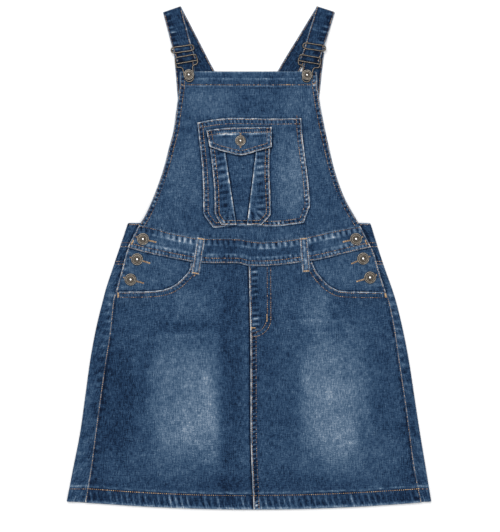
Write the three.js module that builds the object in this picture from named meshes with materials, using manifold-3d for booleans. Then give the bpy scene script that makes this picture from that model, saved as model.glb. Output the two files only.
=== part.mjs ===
// Denim pinafore dress with a bib, laid on its back on a flat surface.
// Millimetres. X runs to the right of the dress as seen, Y from hem to straps, Z up from the surface.
// The origin is the middle of the outline, on the surface.
import * as THREE from 'three';
import Module from 'manifold-3d';
import { mergeVertices } from 'three/addons/utils/BufferGeometryUtils.js';

const wasm = await Module();
wasm.setup();

// Cloth thicknesses and the gap that sewn or stacked pieces keep
const cloth = 1.2;
const turned = 2.4;
const band = 2.4;
const pleatCloth = 1.0;
const strapCloth = 1.6;
const gap = 0.3;

// Heights of the layers above the surface
const foldHeight = 4.6;
const bandFoldHeight = 5.8;
const hemFoldHeight = 6.2;
const frontRest = 1.8;
const hemRest = 2.8;
const waistRest = 2.8;
const bibRest = 2.1;
const bibRaised = 3.8;
const overBandFold = 6.1;

// Hems and laps
const hemDepth = 20;
const bibTopHem = 21.6;
const bibSideHem = 7.5;
const centreLap = 8;
const buttonUnderlap = 25;
const pocketUnderlap = 7;

// Straps, loops and metal
const strapWidth = 30;
const loopWidth = 12.3;
const loopCloth = 1.6;
const loopGap = 0.4;
const wireRadius = 1.2;
const wireSides = 6;
const buttonSegments = 16;

// Left and right fold of the sides and the seams that lie on the front, from waist to hem
const sides = [
  { y: 55.4, leftFold: -193.5, leftSeam: -173.5, rightSeam: 176.5, rightFold: 194.8 },
  { y: 34.6, leftFold: -200.4, leftSeam: -184.8, rightSeam: 188.0, rightFold: 201.2 },
  { y: 9.0, leftFold: -209.2, leftSeam: -195.0, rightSeam: 199.5, rightFold: 209.2 },
  { y: -19.8, leftFold: -218.8, leftSeam: -202.8, rightSeam: 207.8, rightFold: 218.8 },
  { y: -48.6, leftFold: -228.4, leftSeam: -210.8, rightSeam: 217.0, rightFold: 229.2 },
  { y: -71.0, leftFold: -234.4, leftSeam: -217.2, rightSeam: 225.2, rightFold: 236.2 },
  { y: -115.8, leftFold: -245.2, leftSeam: -222.0, rightSeam: 234.5, rightFold: 247.0 },
  { y: -163.8, leftFold: -254.0, leftSeam: -229.5, rightSeam: 241.5, rightFold: 256.4 },
  { y: -221.4, leftFold: -262.0, leftSeam: -237.7, rightSeam: 250.2, rightFold: 265.2 },
  { y: -279.0, leftFold: -270.0, leftSeam: -245.5, rightSeam: 258.0, rightFold: 274.0 },
  { y: -336.6, leftFold: -281.2, leftSeam: -253.0, rightSeam: 265.7, rightFold: 283.6 },
  { y: -391.0, leftFold: -291.8, leftSeam: -261.8, rightSeam: 276.4, rightFold: 292.4 },
];

// Front waistband: its lower and upper edge, from the left side closure to the right one
const waist = [
  { lowX: -193.4, lowY: 16.2, topX: -174.8, topY: 52.6 },
  { lowX: -161.4, lowY: 7.6, topX: -150.0, topY: 47.4 },
  { lowX: -135.3, lowY: 2.2, topX: -126.6, topY: 40.7 },
  { lowX: -110.0, lowY: -3.1, topX: -102.8, topY: 35.8 },
  { lowX: -87.6, lowY: -6.6, topX: -82.8, topY: 32.1 },
  { lowX: -54.0, lowY: -8.7, topX: -51.6, topY: 31.1 },
  { lowX: -18.8, lowY: -8.6, topX: -17.2, topY: 30.8 },
  { lowX: 1.2, lowY: -12.7, topX: 1.2, topY: 27.6 },
  { lowX: 21.2, lowY: -13.2, topX: 21.2, topY: 25.7 },
  { lowX: 43.6, lowY: -11.9, topX: 43.1, topY: 27.0 },
  { lowX: 83.6, lowY: -7.0, topX: 80.4, topY: 31.6 },
  { lowX: 106.8, lowY: -3.8, topX: 102.8, topY: 35.9 },
  { lowX: 149.2, lowY: 6.0, topX: 138.8, topY: 43.8 },
  { lowX: 195.1, lowY: 16.7, topX: 177.7, topY: 50.8 },
];

// Bib: left and right edge from the top hem down to the waistband
const bibRows = [
  { y: 297.8, left: -110.0, right: 109.2 },
  { y: 277.8, left: -110.0, right: 109.2 },
  { y: 258.6, left: -112.4, right: 111.6 },
  { y: 233.0, left: -116.1, right: 116.1 },
  { y: 204.2, left: -120.2, right: 122.0 },
  { y: 175.4, left: -127.6, right: 128.4 },
  { y: 149.8, left: -134.0, right: 134.3 },
  { y: 124.2, left: -142.0, right: 142.0 },
  { y: 98.6, left: -151.6, right: 151.6 },
  { y: 79.4, left: -159.6, right: 161.2 },
  { y: 65.0, left: -166.8, right: 169.7 },
  { y: 52.6, left: -174.8, right: 177.7 },
];

// Curved openings of the hip pockets, from the waistband to the side
const leftPocket = [
  { x: -92.7, y: -7.0 },
  { x: -93.2, y: -14.0 },
  { x: -95.9, y: -21.7 },
  { x: -104.1, y: -31.4 },
  { x: -117.2, y: -43.0 },
  { x: -130.3, y: -49.5 },
  { x: -146.6, y: -53.0 },
  { x: -172.7, y: -54.3 },
  { x: -190.0, y: -54.4 },
  { x: -211.4, y: -54.5 },
];
const rightPocket = [
  { x: 100.4, y: -4.6 },
  { x: 103.4, y: -12.6 },
  { x: 110.0, y: -24.6 },
  { x: 119.1, y: -35.6 },
  { x: 130.2, y: -45.7 },
  { x: 146.6, y: -53.2 },
  { x: 171.4, y: -54.6 },
  { x: 195.0, y: -55.0 },
  { x: 218.8, y: -55.2 },
];

// Front skirt below the pockets: height of a row at the side and at the centre seam
const skirtRows = [
  { side: -63.5, centre: -80.0 },
  { side: -73.0, centre: -90.0 },
  { side: -115.8, centre: -122.0 },
  { side: -163.8, centre: -168.0 },
  { side: -221.4, centre: -225.0 },
  { side: -279.0, centre: -284.0 },
  { side: -336.6, centre: -343.0 },
];
const pocketCentreTop = -13.0;
const pocketCentreLow = -75.0;
const hemSide = -391.5;
const hemCentre = -403.1;
const backHemRise = 1.0;
const backHemInset = 1.2;
const hemStep = 1.5;

// Centre front seam, from the waistband to the hem
const centreSeam = [
  { y: -12.7, x: 0.1 },
  { y: -83.8, x: 1.7 },
  { y: -147.8, x: 2.8 },
  { y: -275.8, x: 3.0 },
  { y: -403.1, x: 7.8 },
];

// Back pieces: heights of their seams at the side fold and at the centre back
const backBandTop = { side: 55.0, centre: 58.0 };
const backBandLow = { side: 16.5, centre: 20.0 };
const yokeSeam = { side: -11.5, centre: -44.0 };

// Large patch pocket on the bib
const patchRows = [
  { y: 222.8, left: -81.7, right: 83.6 },
  { y: 196.2, left: -79.6, right: 85.5 },
  { y: 167.4, left: -76.6, right: 89.0 },
  { y: 135.4, left: -73.7, right: 93.4 },
  { y: 105.8, left: -72.7, right: 96.4 },
  { y: 82.6, left: -72.6, right: 97.7 },
  { y: 75.3, left: -72.6, right: 95.0 },
  { y: 56.2, left: -57.2, right: 87.8 },
];
const patchEdges = [
  { x: -81.7, top: 215.9, low: 56.2 },
  { x: -55.6, top: 220.6, low: 48.2 },
  { x: -25.2, top: 223.1, low: 50.9 },
  { x: 0.0, top: 222.8, low: 50.8 },
  { x: 38.8, top: 222.2, low: 50.5 },
  { x: 83.6, top: 222.8, low: 55.4 },
  { x: 87.8, top: 222.8, low: 56.2 },
];
const patchHem = 16;

// Small pleated pocket: its edges and the two fold edges of its inverted pleat
const cargoRows = [
  { y: 192.0, left: -63.8, foldLeft: -41.6, foldRight: 14.8, right: 34.3 },
  { y: 172.2, left: -61.5, foldLeft: -38.8, foldRight: 12.4, right: 33.7 },
  { y: 135.4, left: -57.2, foldLeft: -33.2, foldRight: 7.9, right: 32.7 },
  { y: 105.8, left: -54.8, foldLeft: -28.6, foldRight: 4.2, right: 34.0 },
  { y: 71.4, left: -54.0, foldLeft: -23.3, foldRight: -0.2, right: 35.0 },
  { y: 52.6, left: -43.6, foldLeft: -20.2, foldRight: -2.6, right: 20.4 },
];
const pleatDepth = 8;
const pleatStep = 1.2;
const pleatTurn = 0.6;
const stripRise = 5;

// Pointed flap over the small pocket
const flapColumns = [
  { x: -67.6, top: 203.1, low: 177.0 },
  { x: -37.0, top: 206.8, low: 169.0 },
  { x: -13.2, top: 207.8, low: 163.9 },
  { x: 14.8, top: 208.3, low: 170.6 },
  { x: 36.4, top: 208.7, low: 176.9 },
];
const flapCloth = 1.8;
const flapLift = 4.4;
const flapSag = 1.0;
const flapSlant = 5.6;

// Straps: centre line on the plan, with the angle of the strap's cross line in degrees
const leftStrap = {
  waist: { x: 68.0, y: 58.6, turn: 29 },
  bibTop: { x: -71.9, y: 298.6, turn: 27.5 },
  fold: { x: -122.4, y: 396.0, turn: 19.2 },
  slider: { x: -105.8, y: 333.5, turn: 8 },
  over: 1,
};
const rightStrap = {
  waist: { x: -68.0, y: 58.6, turn: -29 },
  bibTop: { x: 63.4, y: 298.3, turn: -29 },
  fold: { x: 122.7, y: 396.2, turn: -18 },
  slider: { x: 104.6, y: 336.6, turn: -8.5 },
  over: 0,
};
const strapEnds = [
  { share: 0, x: -104.6, y: 329.5, high: 1 },
  { share: 0.3, x: -102.0, y: 300.0, high: 1 },
  { share: 0.5, x: -99.5, y: 268.0, high: 1 },
  { share: 0.75, x: -97.0, y: 240.0, high: 0 },
  { share: 1, x: -94.0, y: 212.0, high: 0 },
];

// Heights of the middle of the strap's cloth in its stack
const strapFloor = strapCloth / 2;
const strapCrossing = strapCloth * 1.5 + gap;
const strapTurnRadius = 1.4;
const strapFront = 6.5;
const strapOverBar = 7.3;
const loopBarHeight = 6.8;
const loopRadius = 2.3;
const strapReturn = loopBarHeight - loopRadius;

// Wire slider: ring of the two bars in front of the strap, and the bar behind it
const sliderWidth = 36.2;
const sliderDepth = 8.8;
const sliderHeight = 8.9;
const sliderBarHeight = 5.0;

// Wire buckle in its own frame: across and up from the button it hooks over
const buckleTurn = 10;
const buckleTopBar = 30.3;
const buckleLoopBar = 25.3;
const buckleLowBar = 20.6;
const buckleHalf = [
  { across: 13.0, up: 30.3, height: 8.9 },
  { across: 16.2, up: 29.1, height: 8.9 },
  { across: 17.2, up: 25.3, height: 8.0 },
  { across: 17.4, up: 18.6, height: 7.6 },
  { across: 15.6, up: 14.9, height: 7.7 },
  { across: 10.6, up: 13.8, height: 7.7 },
  { across: 8.1, up: 11.2, height: 7.7 },
  { across: 7.6, up: 5.0, height: 7.7 },
  { across: 7.1, up: -3.0, height: 7.7 },
  { across: 4.6, up: -9.2, height: 7.7 },
];
const buckleReach = 17.2;
const buckleTip = -11.2;

// Buttons: place, head radius and the level their foot stands on
const bibButtons = [
  { name: 'button_bib_left', x: -95.8, y: 292.4 },
  { name: 'button_bib_right', x: 93.2, y: 291.9 },
];
const flapButton = { name: 'button_flap', x: -13.2, y: 186.6 };
const sideButtons = [
  { name: 'button_waist_left', x: -169.0, y: 29.7, onBand: true },
  { name: 'button_hip_left_upper', x: -178.6, y: -2.6, onBand: false },
  { name: 'button_hip_left_lower', x: -189.0, y: -35.0, onBand: false },
  { name: 'button_waist_right', x: 171.4, y: 29.8, onBand: true },
  { name: 'button_hip_right_upper', x: 183.0, y: -1.5, onBand: false },
  { name: 'button_hip_right_lower', x: 194.0, y: -31.8, onBand: false },
];
const smallButton = 8.5;
const sideButton = 9.65;
const buttonFoot = 3.4;
const hookedFoot = 2.7;
const plainFoot = 0.9;

// Soft ridges where the laid skirt lifts off its back
const ridges = [
  { x: -150, y: -170, angle: 82, length: 150, width: 26, height: 0.9 },
  { x: -60, y: -250, angle: 96, length: 210, width: 30, height: 0.8 },
  { x: 95, y: -190, angle: 80, length: 190, width: 32, height: 0.9 },
  { x: 190, y: -250, angle: 100, length: 180, width: 26, height: 0.8 },
  { x: -190, y: -300, angle: 105, length: 120, width: 24, height: 0.7 },
];

// Where one layer starts to rise over another, and over how long a run
const slopes = {
  hipOverUnderlap: { start: 30, run: 46 },
  skirtOffFold: { start: 26, run: 40 },
  skirtOverHip: { start: 10, run: 16 },
  waistOverBackBand: { start: 31, run: 32 },
  bibOverCrossing: { start: 62, run: 60 },
  bibOverEndsUp: { start: 226, run: 34 },
  bibOverEndsOut: { start: 24, run: 44 },
  bibOffBand: { start: 62, run: 40 },
  bibCornerUp: { start: 62, run: 42 },
  bibCornerIn: { start: 32, run: 32 },
  flapOffSeam: { start: 0, run: 10 },
  flapSagOut: { start: 0, run: 34 },
  backUnderClosure: { start: -50, run: 4 },
};
const crossingCentre = { x: -2, y: 172 };

// Where the grids of the pieces have their lines: shares of a length, degrees round a fold, or millimetres
const backShares = [0, 0.3, 0.6, 0.85, 1];
const foldDegrees = [-60, -30, 0, 30, 60, 90];
const wrapShares = [0.5, 1];
const stripShares = [0, 0.5, 1];
const skirtEdgeSteps = [0, 5, 14, 26, 42];
const skirtInnerShares = [0.25, 0.5, 0.75];
const skirtHug = 5;
const hipColumnShares = [0, 0.08, 0.2, 0.35, 0.5, 0.65, 0.8, 0.93, 1];
const hipRowShares = [0, 0.25, 0.5, 0.75, 1];
const hipLow = -56;
const bibLastHug = 0.3;
const hemEdge = 1.2;
const bandColumnStep = 24;
const bibColumnStep = 34;
const patchColumns = 12;
const patchBend = 4;
const flapShares = [0, 0.12, 0.26, 0.6, 1];
const pleatFoldDegrees = [60, 0, -60];
const stripTurn = 2.4;
const strapTurnDegrees = [-90, -45, 0, 45, 90];
const barTurnDegrees = [45, 0, -45];
const buckleSteps = 24;
const sliderSteps = 11;
const sliderBarSteps = 9;

const denim = new THREE.MeshStandardMaterial({ color: 0x4a6f9c, roughness: 0.9, metalness: 0 });
const denimInside = new THREE.MeshStandardMaterial({ color: 0x3b5c86, roughness: 0.92, metalness: 0 });
const metal = new THREE.MeshStandardMaterial({ color: 0x8c8070, roughness: 0.35, metalness: 0.9 });

const radians = THREE.MathUtils.degToRad;
const mix = THREE.MathUtils.lerp;

// 0 below zero, 1 above one, smooth between
function ease(value) {
  return THREE.MathUtils.smoothstep(value, 0, 1);
}

// How far a slope has risen at a place, and how far it still has to fall
function risen(place, slope) {
  return ease((place - slope.start) / slope.run);
}

function fallen(place, slope) {
  return ease(1 - (place - slope.start) / slope.run);
}

// Value of one column of a table at a place along another column
function lookUp(table, along, place, column) {
  const rising = table[table.length - 1][along] > table[0][along];
  const rows = rising ? table : [...table].reverse();
  let next = rows.findIndex((row) => row[along] > place);
  if (next === 0) next = 1;
  if (next < 0) next = rows.length - 1;
  const low = rows[next - 1];
  const high = rows[next];
  const share = (place - low[along]) / (high[along] - low[along]);
  return mix(low[column], high[column], share);
}

// Distance on the plan from a point to a line of points
function distanceTo(line, x, y) {
  let nearest = Infinity;
  for (let i = 1; i < line.length; i += 1) {
    const start = line[i - 1];
    const runX = line[i].x - start.x;
    const runY = line[i].y - start.y;
    const along = ((x - start.x) * runX + (y - start.y) * runY) / (runX * runX + runY * runY);
    const share = THREE.MathUtils.clamp(along, 0, 1);
    nearest = Math.min(nearest, Math.hypot(x - start.x - share * runX, y - start.y - share * runY));
  }
  return nearest;
}

// Closed wall from a grid of cells, each with a point on its two faces
function wall(grid) {
  const rows = grid.length;
  const columns = grid[0].length;
  const points = [];
  for (const face of ['outer', 'inner']) {
    for (const row of grid) {
      for (const cell of row) points.push(cell[face]);
    }
  }
  const index = [];
  const outer = (row, column) => row * columns + column;
  const inner = (row, column) => rows * columns + outer(row, column);
  const quad = (a, b, c, d) => index.push(a, b, c, a, c, d);
  for (let row = 0; row + 1 < rows; row += 1) {
    for (let column = 0; column + 1 < columns; column += 1) {
      const next = column + 1;
      quad(outer(row, column), outer(row + 1, column), outer(row + 1, next), outer(row, next));
      quad(inner(row, column), inner(row, next), inner(row + 1, next), inner(row + 1, column));
    }
  }
  for (let row = 0; row + 1 < rows; row += 1) {
    const last = columns - 1;
    quad(outer(row, 0), inner(row, 0), inner(row + 1, 0), outer(row + 1, 0));
    quad(outer(row, last), outer(row + 1, last), inner(row + 1, last), inner(row, last));
  }
  for (let column = 0; column + 1 < columns; column += 1) {
    const last = rows - 1;
    quad(outer(0, column), outer(0, column + 1), inner(0, column + 1), inner(0, column));
    quad(outer(last, column), inner(last, column), inner(last, column + 1), outer(last, column + 1));
  }
  return facingOut(points, index);
}

// Geometry whose faces point out of the body
function facingOut(points, index) {
  let volume = 0;
  for (let i = 0; i < index.length; i += 3) {
    const crossed = new THREE.Vector3().crossVectors(points[index[i + 1]], points[index[i + 2]]);
    volume += points[index[i]].dot(crossed);
  }
  if (volume < 0) index.reverse();
  const geometry = new THREE.BufferGeometry();
  geometry.setAttribute('position', new THREE.Float32BufferAttribute(points.flatMap((p) => p.toArray()), 3));
  geometry.setIndex(index);
  return geometry;
}

// Cell of a piece that lies flat: its underside level and its thickness
function lying(x, y, bottom, thickness) {
  return { outer: new THREE.Vector3(x, y, bottom + thickness), inner: new THREE.Vector3(x, y, bottom) };
}

// Wall of even thickness round a grid of points in the middle of the cloth
function clothAlong(middle, thickness) {
  const at = (row, column) => middle[row][column];
  const grid = middle.map((points, row) => points.map((point, column) => {
    const lastRow = middle.length - 1;
    const lastColumn = points.length - 1;
    const down = at(Math.min(row + 1, lastRow), column).clone().sub(at(Math.max(row - 1, 0), column));
    const across = at(row, Math.min(column + 1, lastColumn)).clone().sub(at(row, Math.max(column - 1, 0)));
    const normal = down.cross(across).normalize().multiplyScalar(thickness / 2);
    return { outer: point.clone().add(normal), inner: point.clone().sub(normal) };
  }));
  return wall(grid);
}

// Where the sides fold and where the front's side edge lies, at a height on the dress
function sideAt(y, side) {
  const name = side < 0 ? 'left' : 'right';
  return { fold: lookUp(sides, 'y', y, `${name}Fold`), seam: lookUp(sides, 'y', y, `${name}Seam`) };
}

// Lower edge of the front hem
function hemLow(x) {
  const side = x < 0 ? 'leftSeam' : 'rightSeam';
  const half = sides[sides.length - 1][side];
  const share = THREE.MathUtils.clamp(x / half, 0, 1);
  return mix(hemCentre, hemSide, share * share);
}

// How much a place belongs to the turned hem, 0 or 1 with a short step between
function hemShare(x, y) {
  return THREE.MathUtils.clamp((hemLow(x) + hemDepth + hemStep - y) / hemStep, 0, 1);
}

function ridgeHeight(x, y) {
  let height = 0;
  for (const ridge of ridges) {
    const cos = Math.cos(radians(ridge.angle));
    const sin = Math.sin(radians(ridge.angle));
    const along = (x - ridge.x) * cos + (y - ridge.y) * sin;
    const aside = (y - ridge.y) * cos - (x - ridge.x) * sin;
    const fade = ease(1 - Math.abs(along) / (ridge.length / 2)) * ease(1 - Math.abs(aside) / ridge.width);
    height += ridge.height * fade;
  }
  return height;
}

// Underside of the hip pieces: over the button underlap at the side, on the back further in
function hipBottom(x, y) {
  const inward = Math.abs(sideAt(y, x).seam) - Math.abs(x);
  return mix(frontRest, foldHeight + gap, fallen(inward, slopes.hipOverUnderlap));
}

// Underside of the front skirt panels
function frontBottom(x, y) {
  const pocket = x < 0 ? leftPocket : rightPocket;
  const hem = hemShare(x, y);
  const fromFold = Math.abs(sideAt(y, x).fold) - Math.abs(x);
  const atSide = mix(foldHeight - cloth, hemFoldHeight - turned, hem);
  const inside = mix(frontRest, hemRest, hem) + ridgeHeight(x, y);
  const plain = mix(atSide, inside, risen(fromFold, slopes.skirtOffFold));
  const lift = fallen(distanceTo(pocket, x, y), slopes.skirtOverHip);
  return mix(plain, hipBottom(x, y) + cloth + gap, lift);
}

function frontThickness(x, y) {
  const lap = x - lookUp(centreSeam, 'y', y, 'x');
  const lapped = lap > 0 && lap < centreLap ? turned - cloth : 0;
  return mix(cloth, turned, hemShare(x, y)) + lapped * (1 - hemShare(x, y));
}

function frontTop(x, y) {
  return frontBottom(x, y) + frontThickness(x, y);
}

// Underside of the front waistband: over the folded back waistband at the sides
function waistBottom(x, y) {
  const inward = Math.abs(sideAt(y, x).seam) - Math.abs(x);
  return mix(waistRest, overBandFold, fallen(inward, slopes.waistOverBackBand));
}

// Underside of the bib: over the crossing of the straps, their ends and the back waistband
function bibBottom(x, y) {
  const fromCrossing = Math.hypot(x - crossingCentre.x, y - crossingCentre.y);
  const crossing = fallen(fromCrossing, slopes.bibOverCrossing);
  const overEnds = risen(y, slopes.bibOverEndsUp) * risen(Math.abs(x), slopes.bibOverEndsOut);
  const plain = mix(waistRest, bibRest, risen(y, slopes.bibOffBand));
  const raised = mix(plain, bibRaised, Math.max(crossing, overEnds));
  const inward = Math.abs(sideAt(y, x).seam) - Math.abs(x);
  const corner = fallen(y, slopes.bibCornerUp) * fallen(inward, slopes.bibCornerIn);
  return mix(raised, overBandFold, corner);
}

function bibThickness(x, y) {
  const top = bibRows[0].y - y;
  const edge = Math.min(x - lookUp(bibRows, 'y', y, 'left'), lookUp(bibRows, 'y', y, 'right') - x);
  const onLine = 0.1;
  return top < bibTopHem + onLine || edge < bibSideHem + onLine ? turned : cloth;
}

function patchBottom(x, y) {
  return bibBottom(x, y) + cloth + 2 * gap;
}

function patchTop(x, y) {
  return patchBottom(x, y) + cloth;
}

// Section of a back piece from the centre back round the side fold to its edge on the front
function roundSide(side, heights, thickness, height, edgeInset) {
  const { fold } = sideAt(heights.side, side);
  const radius = height / 2;
  const inside = radius - thickness;
  const turn = fold - side * radius;
  const cells = [];
  for (const share of backShares) {
    const x = mix(side * gap / 2, turn, share);
    const y = mix(heights.centre, heights.side, share ** (heights.bow ?? 1));
    cells.push({ outer: new THREE.Vector3(x, y, 0), inner: new THREE.Vector3(x, y, thickness) });
  }
  for (const degrees of foldDegrees) {
    const cos = side * Math.cos(radians(degrees));
    const sin = Math.sin(radians(degrees));
    cells.push({
      outer: new THREE.Vector3(turn + radius * cos, heights.side, radius + radius * sin),
      inner: new THREE.Vector3(turn + inside * cos, heights.side, radius + inside * sin),
    });
  }
  const edge = sideAt(heights.side, side).seam + side * -edgeInset;
  for (const share of wrapShares) {
    const x = mix(turn, edge, share);
    cells.push({
      outer: new THREE.Vector3(x, heights.side, height),
      inner: new THREE.Vector3(x, heights.side, height - thickness),
    });
  }
  return cells;
}

function between(low, high, share) {
  return { side: mix(low.side, high.side, share), centre: mix(low.centre, high.centre, share) };
}

function backWaistband() {
  const grid = stripShares.map((share) => {
    const heights = between(backBandLow, backBandTop, share);
    const left = roundSide(-1, heights, band, bandFoldHeight, buttonUnderlap);
    const right = roundSide(1, heights, band, bandFoldHeight, buttonUnderlap);
    return [...left.reverse(), ...right];
  });
  return wall(grid);
}

function backYoke(side) {
  const low = { side: yokeSeam.side + gap, centre: yokeSeam.centre + gap };
  const high = { side: backBandLow.side - gap, centre: backBandLow.centre - gap };
  const grid = stripShares.map((share) => (
    roundSide(side, between(low, high, share), cloth, foldHeight, buttonUnderlap)
  ));
  return wall(grid);
}

// Edge of the back skirt on the front: under the closure above, at the side seam below it
function backEdgeInset(y) {
  return mix(-gap, buttonUnderlap, risen(y, slopes.backUnderClosure));
}

function backSkirt(side) {
  const aboveHem = (height) => ({ side: hemSide + height, centre: hemCentre + height, bow: 2 });
  const hemLine = aboveHem(hemDepth - backHemInset);
  const rows = [
    yokeSeam,
    { side: -30, centre: -58 },
    { side: -45, centre: -70 },
    { side: -50.5, centre: -76 },
    { side: -71, centre: -92 },
    ...skirtRows.slice(2).map((row) => ({ ...row, bow: 2 })),
    aboveHem(hemDepth + hemStep - backHemInset),
    hemLine,
    aboveHem(hemDepth / 2),
    aboveHem(backHemRise),
  ];
  const grid = rows.map((row) => {
    const turnedRow = row.side <= hemLine.side;
    const thickness = turnedRow ? turned : cloth;
    const height = turnedRow ? hemFoldHeight : foldHeight;
    return roundSide(side, row, thickness, height, backEdgeInset(row.side));
  });
  return wall(grid);
}

// Front skirt panel from its side edge and pocket curve to the centre seam
function frontSkirt(side) {
  const pocket = side < 0 ? leftPocket : rightPocket;
  const rows = pocket.map((point, i) => ({
    x: point.x,
    y: point.y,
    centre: mix(pocketCentreTop, pocketCentreLow, i / (pocket.length - 1)),
    hug: Math.max(0, 1 - i / skirtHug),
  }));
  for (const row of skirtRows) {
    rows.push({ x: sideAt(row.side, side).seam, y: row.side, centre: row.centre, hug: 0 });
  }
  for (const above of [hemDepth + hemStep, hemDepth, hemDepth / 2, 0]) {
    const y = hemSide + above;
    rows.push({ x: sideAt(y, side).seam, y, centre: hemCentre + above, hug: 0 });
  }
  const grid = rows.map((row) => {
    const centreX = lookUp(centreSeam, 'y', row.centre, 'x') + side * gap / 2;
    const length = Math.abs(centreX - row.x);
    const beforeLap = length - centreLap - 1;
    const lastStep = skirtEdgeSteps[skirtEdgeSteps.length - 1];
    const steps = [...skirtEdgeSteps];
    for (const share of skirtInnerShares) steps.push(mix(lastStep, beforeLap, share));
    steps.push(beforeLap, beforeLap + 1.5, length);
    return steps.map((step) => {
      const share = step / length;
      const x = mix(row.x, centreX, share);
      const straight = mix(row.y, row.centre, 1 - (1 - share) ** 2);
      const top = mix(rows[0].y, rows[0].centre, 1 - (1 - share) ** 2);
      const waistX = mix(rows[0].x, centreX, share);
      const drop = lookUp(waist, 'lowX', waistX, 'lowY') - gap - top;
      const y = straight + row.hug * drop;
      return lying(x, y, frontBottom(x, y), frontThickness(x, y));
    });
  });
  return wall(grid);
}

// Hip piece that carries the buttons, from the waistband to under the pocket edge
function hip(side) {
  const pocket = side < 0 ? leftPocket : rightPocket;
  const start = pocket[0].x;
  const columns = [];
  const inner = start - side * pocketUnderlap;
  const outerTop = side < 0 ? waist[0].lowX : waist[waist.length - 1].lowX;
  for (const share of hipColumnShares) {
    const topX = mix(inner, outerTop, share);
    const lowX = mix(inner, sideAt(hipLow, side).seam, share);
    const top = lookUp(waist, 'lowX', topX, 'lowY') - gap;
    const onCurve = side * lowX < side * start ? pocket[1].y : pocketCurveAt(pocket, lowX, side);
    columns.push({ topX, top, lowX, low: onCurve - pocketUnderlap });
  }
  const grid = hipRowShares.map((share) => columns.map((column) => {
    const y = mix(column.top, column.low, share);
    const straight = mix(column.topX, column.lowX, share);
    const edge = sideAt(y, side).seam;
    const x = column === columns[columns.length - 1] ? edge : straight;
    return lying(x, y, hipBottom(x, y), cloth);
  }));
  return wall(grid);
}

function pocketCurveAt(pocket, x, side) {
  const rows = pocket.map((point) => ({ at: side * point.x, y: point.y }));
  return lookUp(rows, 'at', side * x, 'y');
}

// Table with further rows between those that lie far apart in one column
function refined(table, along, longest) {
  const rows = [table[0]];
  for (let i = 1; i < table.length; i += 1) {
    const count = Math.ceil(Math.abs(table[i][along] - table[i - 1][along]) / longest);
    for (let step = 1; step <= count; step += 1) {
      const row = {};
      for (const key of Object.keys(table[i])) row[key] = mix(table[i - 1][key], table[i][key], step / count);
      rows.push(row);
    }
  }
  return rows;
}

function frontWaistband() {
  const grid = refined(waist, 'lowX', bandColumnStep).map((column) => stripShares.map((share) => {
    const x = mix(column.lowX, column.topX, share);
    const y = mix(column.lowY, column.topY, share);
    return lying(x, y, waistBottom(x, y), band);
  }));
  return wall(grid);
}

function bib() {
  const foot = bibRows[bibRows.length - 1];
  const hemLine = bibRows[0].y - bibTopHem;
  const rowAt = (y) => ({
    y,
    left: lookUp(bibRows, 'y', y, 'left'),
    right: lookUp(bibRows, 'y', y, 'right'),
    hug: 0,
  });
  const belowHem = bibRows.filter((row) => row.y < hemLine - hemEdge && row !== foot);
  const rows = [bibRows[0].y, hemLine, hemLine - hemEdge, ...belowHem.map((row) => row.y)].map(rowAt);
  rows[rows.length - 1].hug = bibLastHug;
  rows.push({ ...foot, hug: 1 });
  const bandLeft = waist[0].topX;
  const bandWidth = waist[waist.length - 1].topX - bandLeft;
  const bandRows = refined(waist, 'topX', bibColumnStep).slice(1, -1);
  const bandShares = bandRows.map((row) => (row.topX - bandLeft) / bandWidth);
  const grid = rows.map((row) => {
    const width = row.right - row.left;
    const steps = [0, bibSideHem, bibSideHem + hemEdge, ...bandShares.map((share) => width * share)];
    steps.push(width - bibSideHem - hemEdge, width - bibSideHem, width);
    return steps.map((step) => {
      const x = row.left + step;
      const seam = lookUp(waist, 'topX', x, 'topY') + gap;
      const y = mix(row.y, seam + (row.y - foot.y), row.hug);
      return lying(x, y, bibBottom(x, y), bibThickness(x, Math.max(y, foot.y)));
    });
  });
  return wall(grid);
}

// Grid of a patch: rows between its side edges, with its upper and lower edge following two curves
function patch(rows, edges, columns, cell) {
  const first = rows[0];
  const last = rows[rows.length - 1];
  const shares = Array.from({ length: columns + 1 }, (_, i) => i / columns);
  const grid = rows.map((row) => shares.map((share) => {
    const x = mix(row.left, row.right, share);
    const rise = lookUp(edges, 'x', x, 'top') - first.y;
    const drop = lookUp(edges, 'x', x, 'low') - last.y;
    const down = (first.y - row.y) / (first.y - last.y);
    const y = row.y + rise * (1 - down) ** patchBend + drop * down ** patchBend;
    return cell(x, y, row);
  }));
  return wall(grid);
}

function patchPocket() {
  const hemLine = patchRows[0].y - patchHem;
  const hemRow = (y) => ({
    y,
    left: lookUp(patchRows, 'y', y, 'left'),
    right: lookUp(patchRows, 'y', y, 'right'),
    turnedIn: y >= hemLine,
  });
  const first = { ...patchRows[0], turnedIn: true };
  const rows = [first, hemRow(hemLine), hemRow(hemLine - hemEdge), ...patchRows.slice(1)];
  return patch(rows, patchEdges, patchColumns, (x, y, row) => (
    lying(x, y, patchBottom(x, y), row.turnedIn ? turned : cloth)
  ));
}

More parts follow.
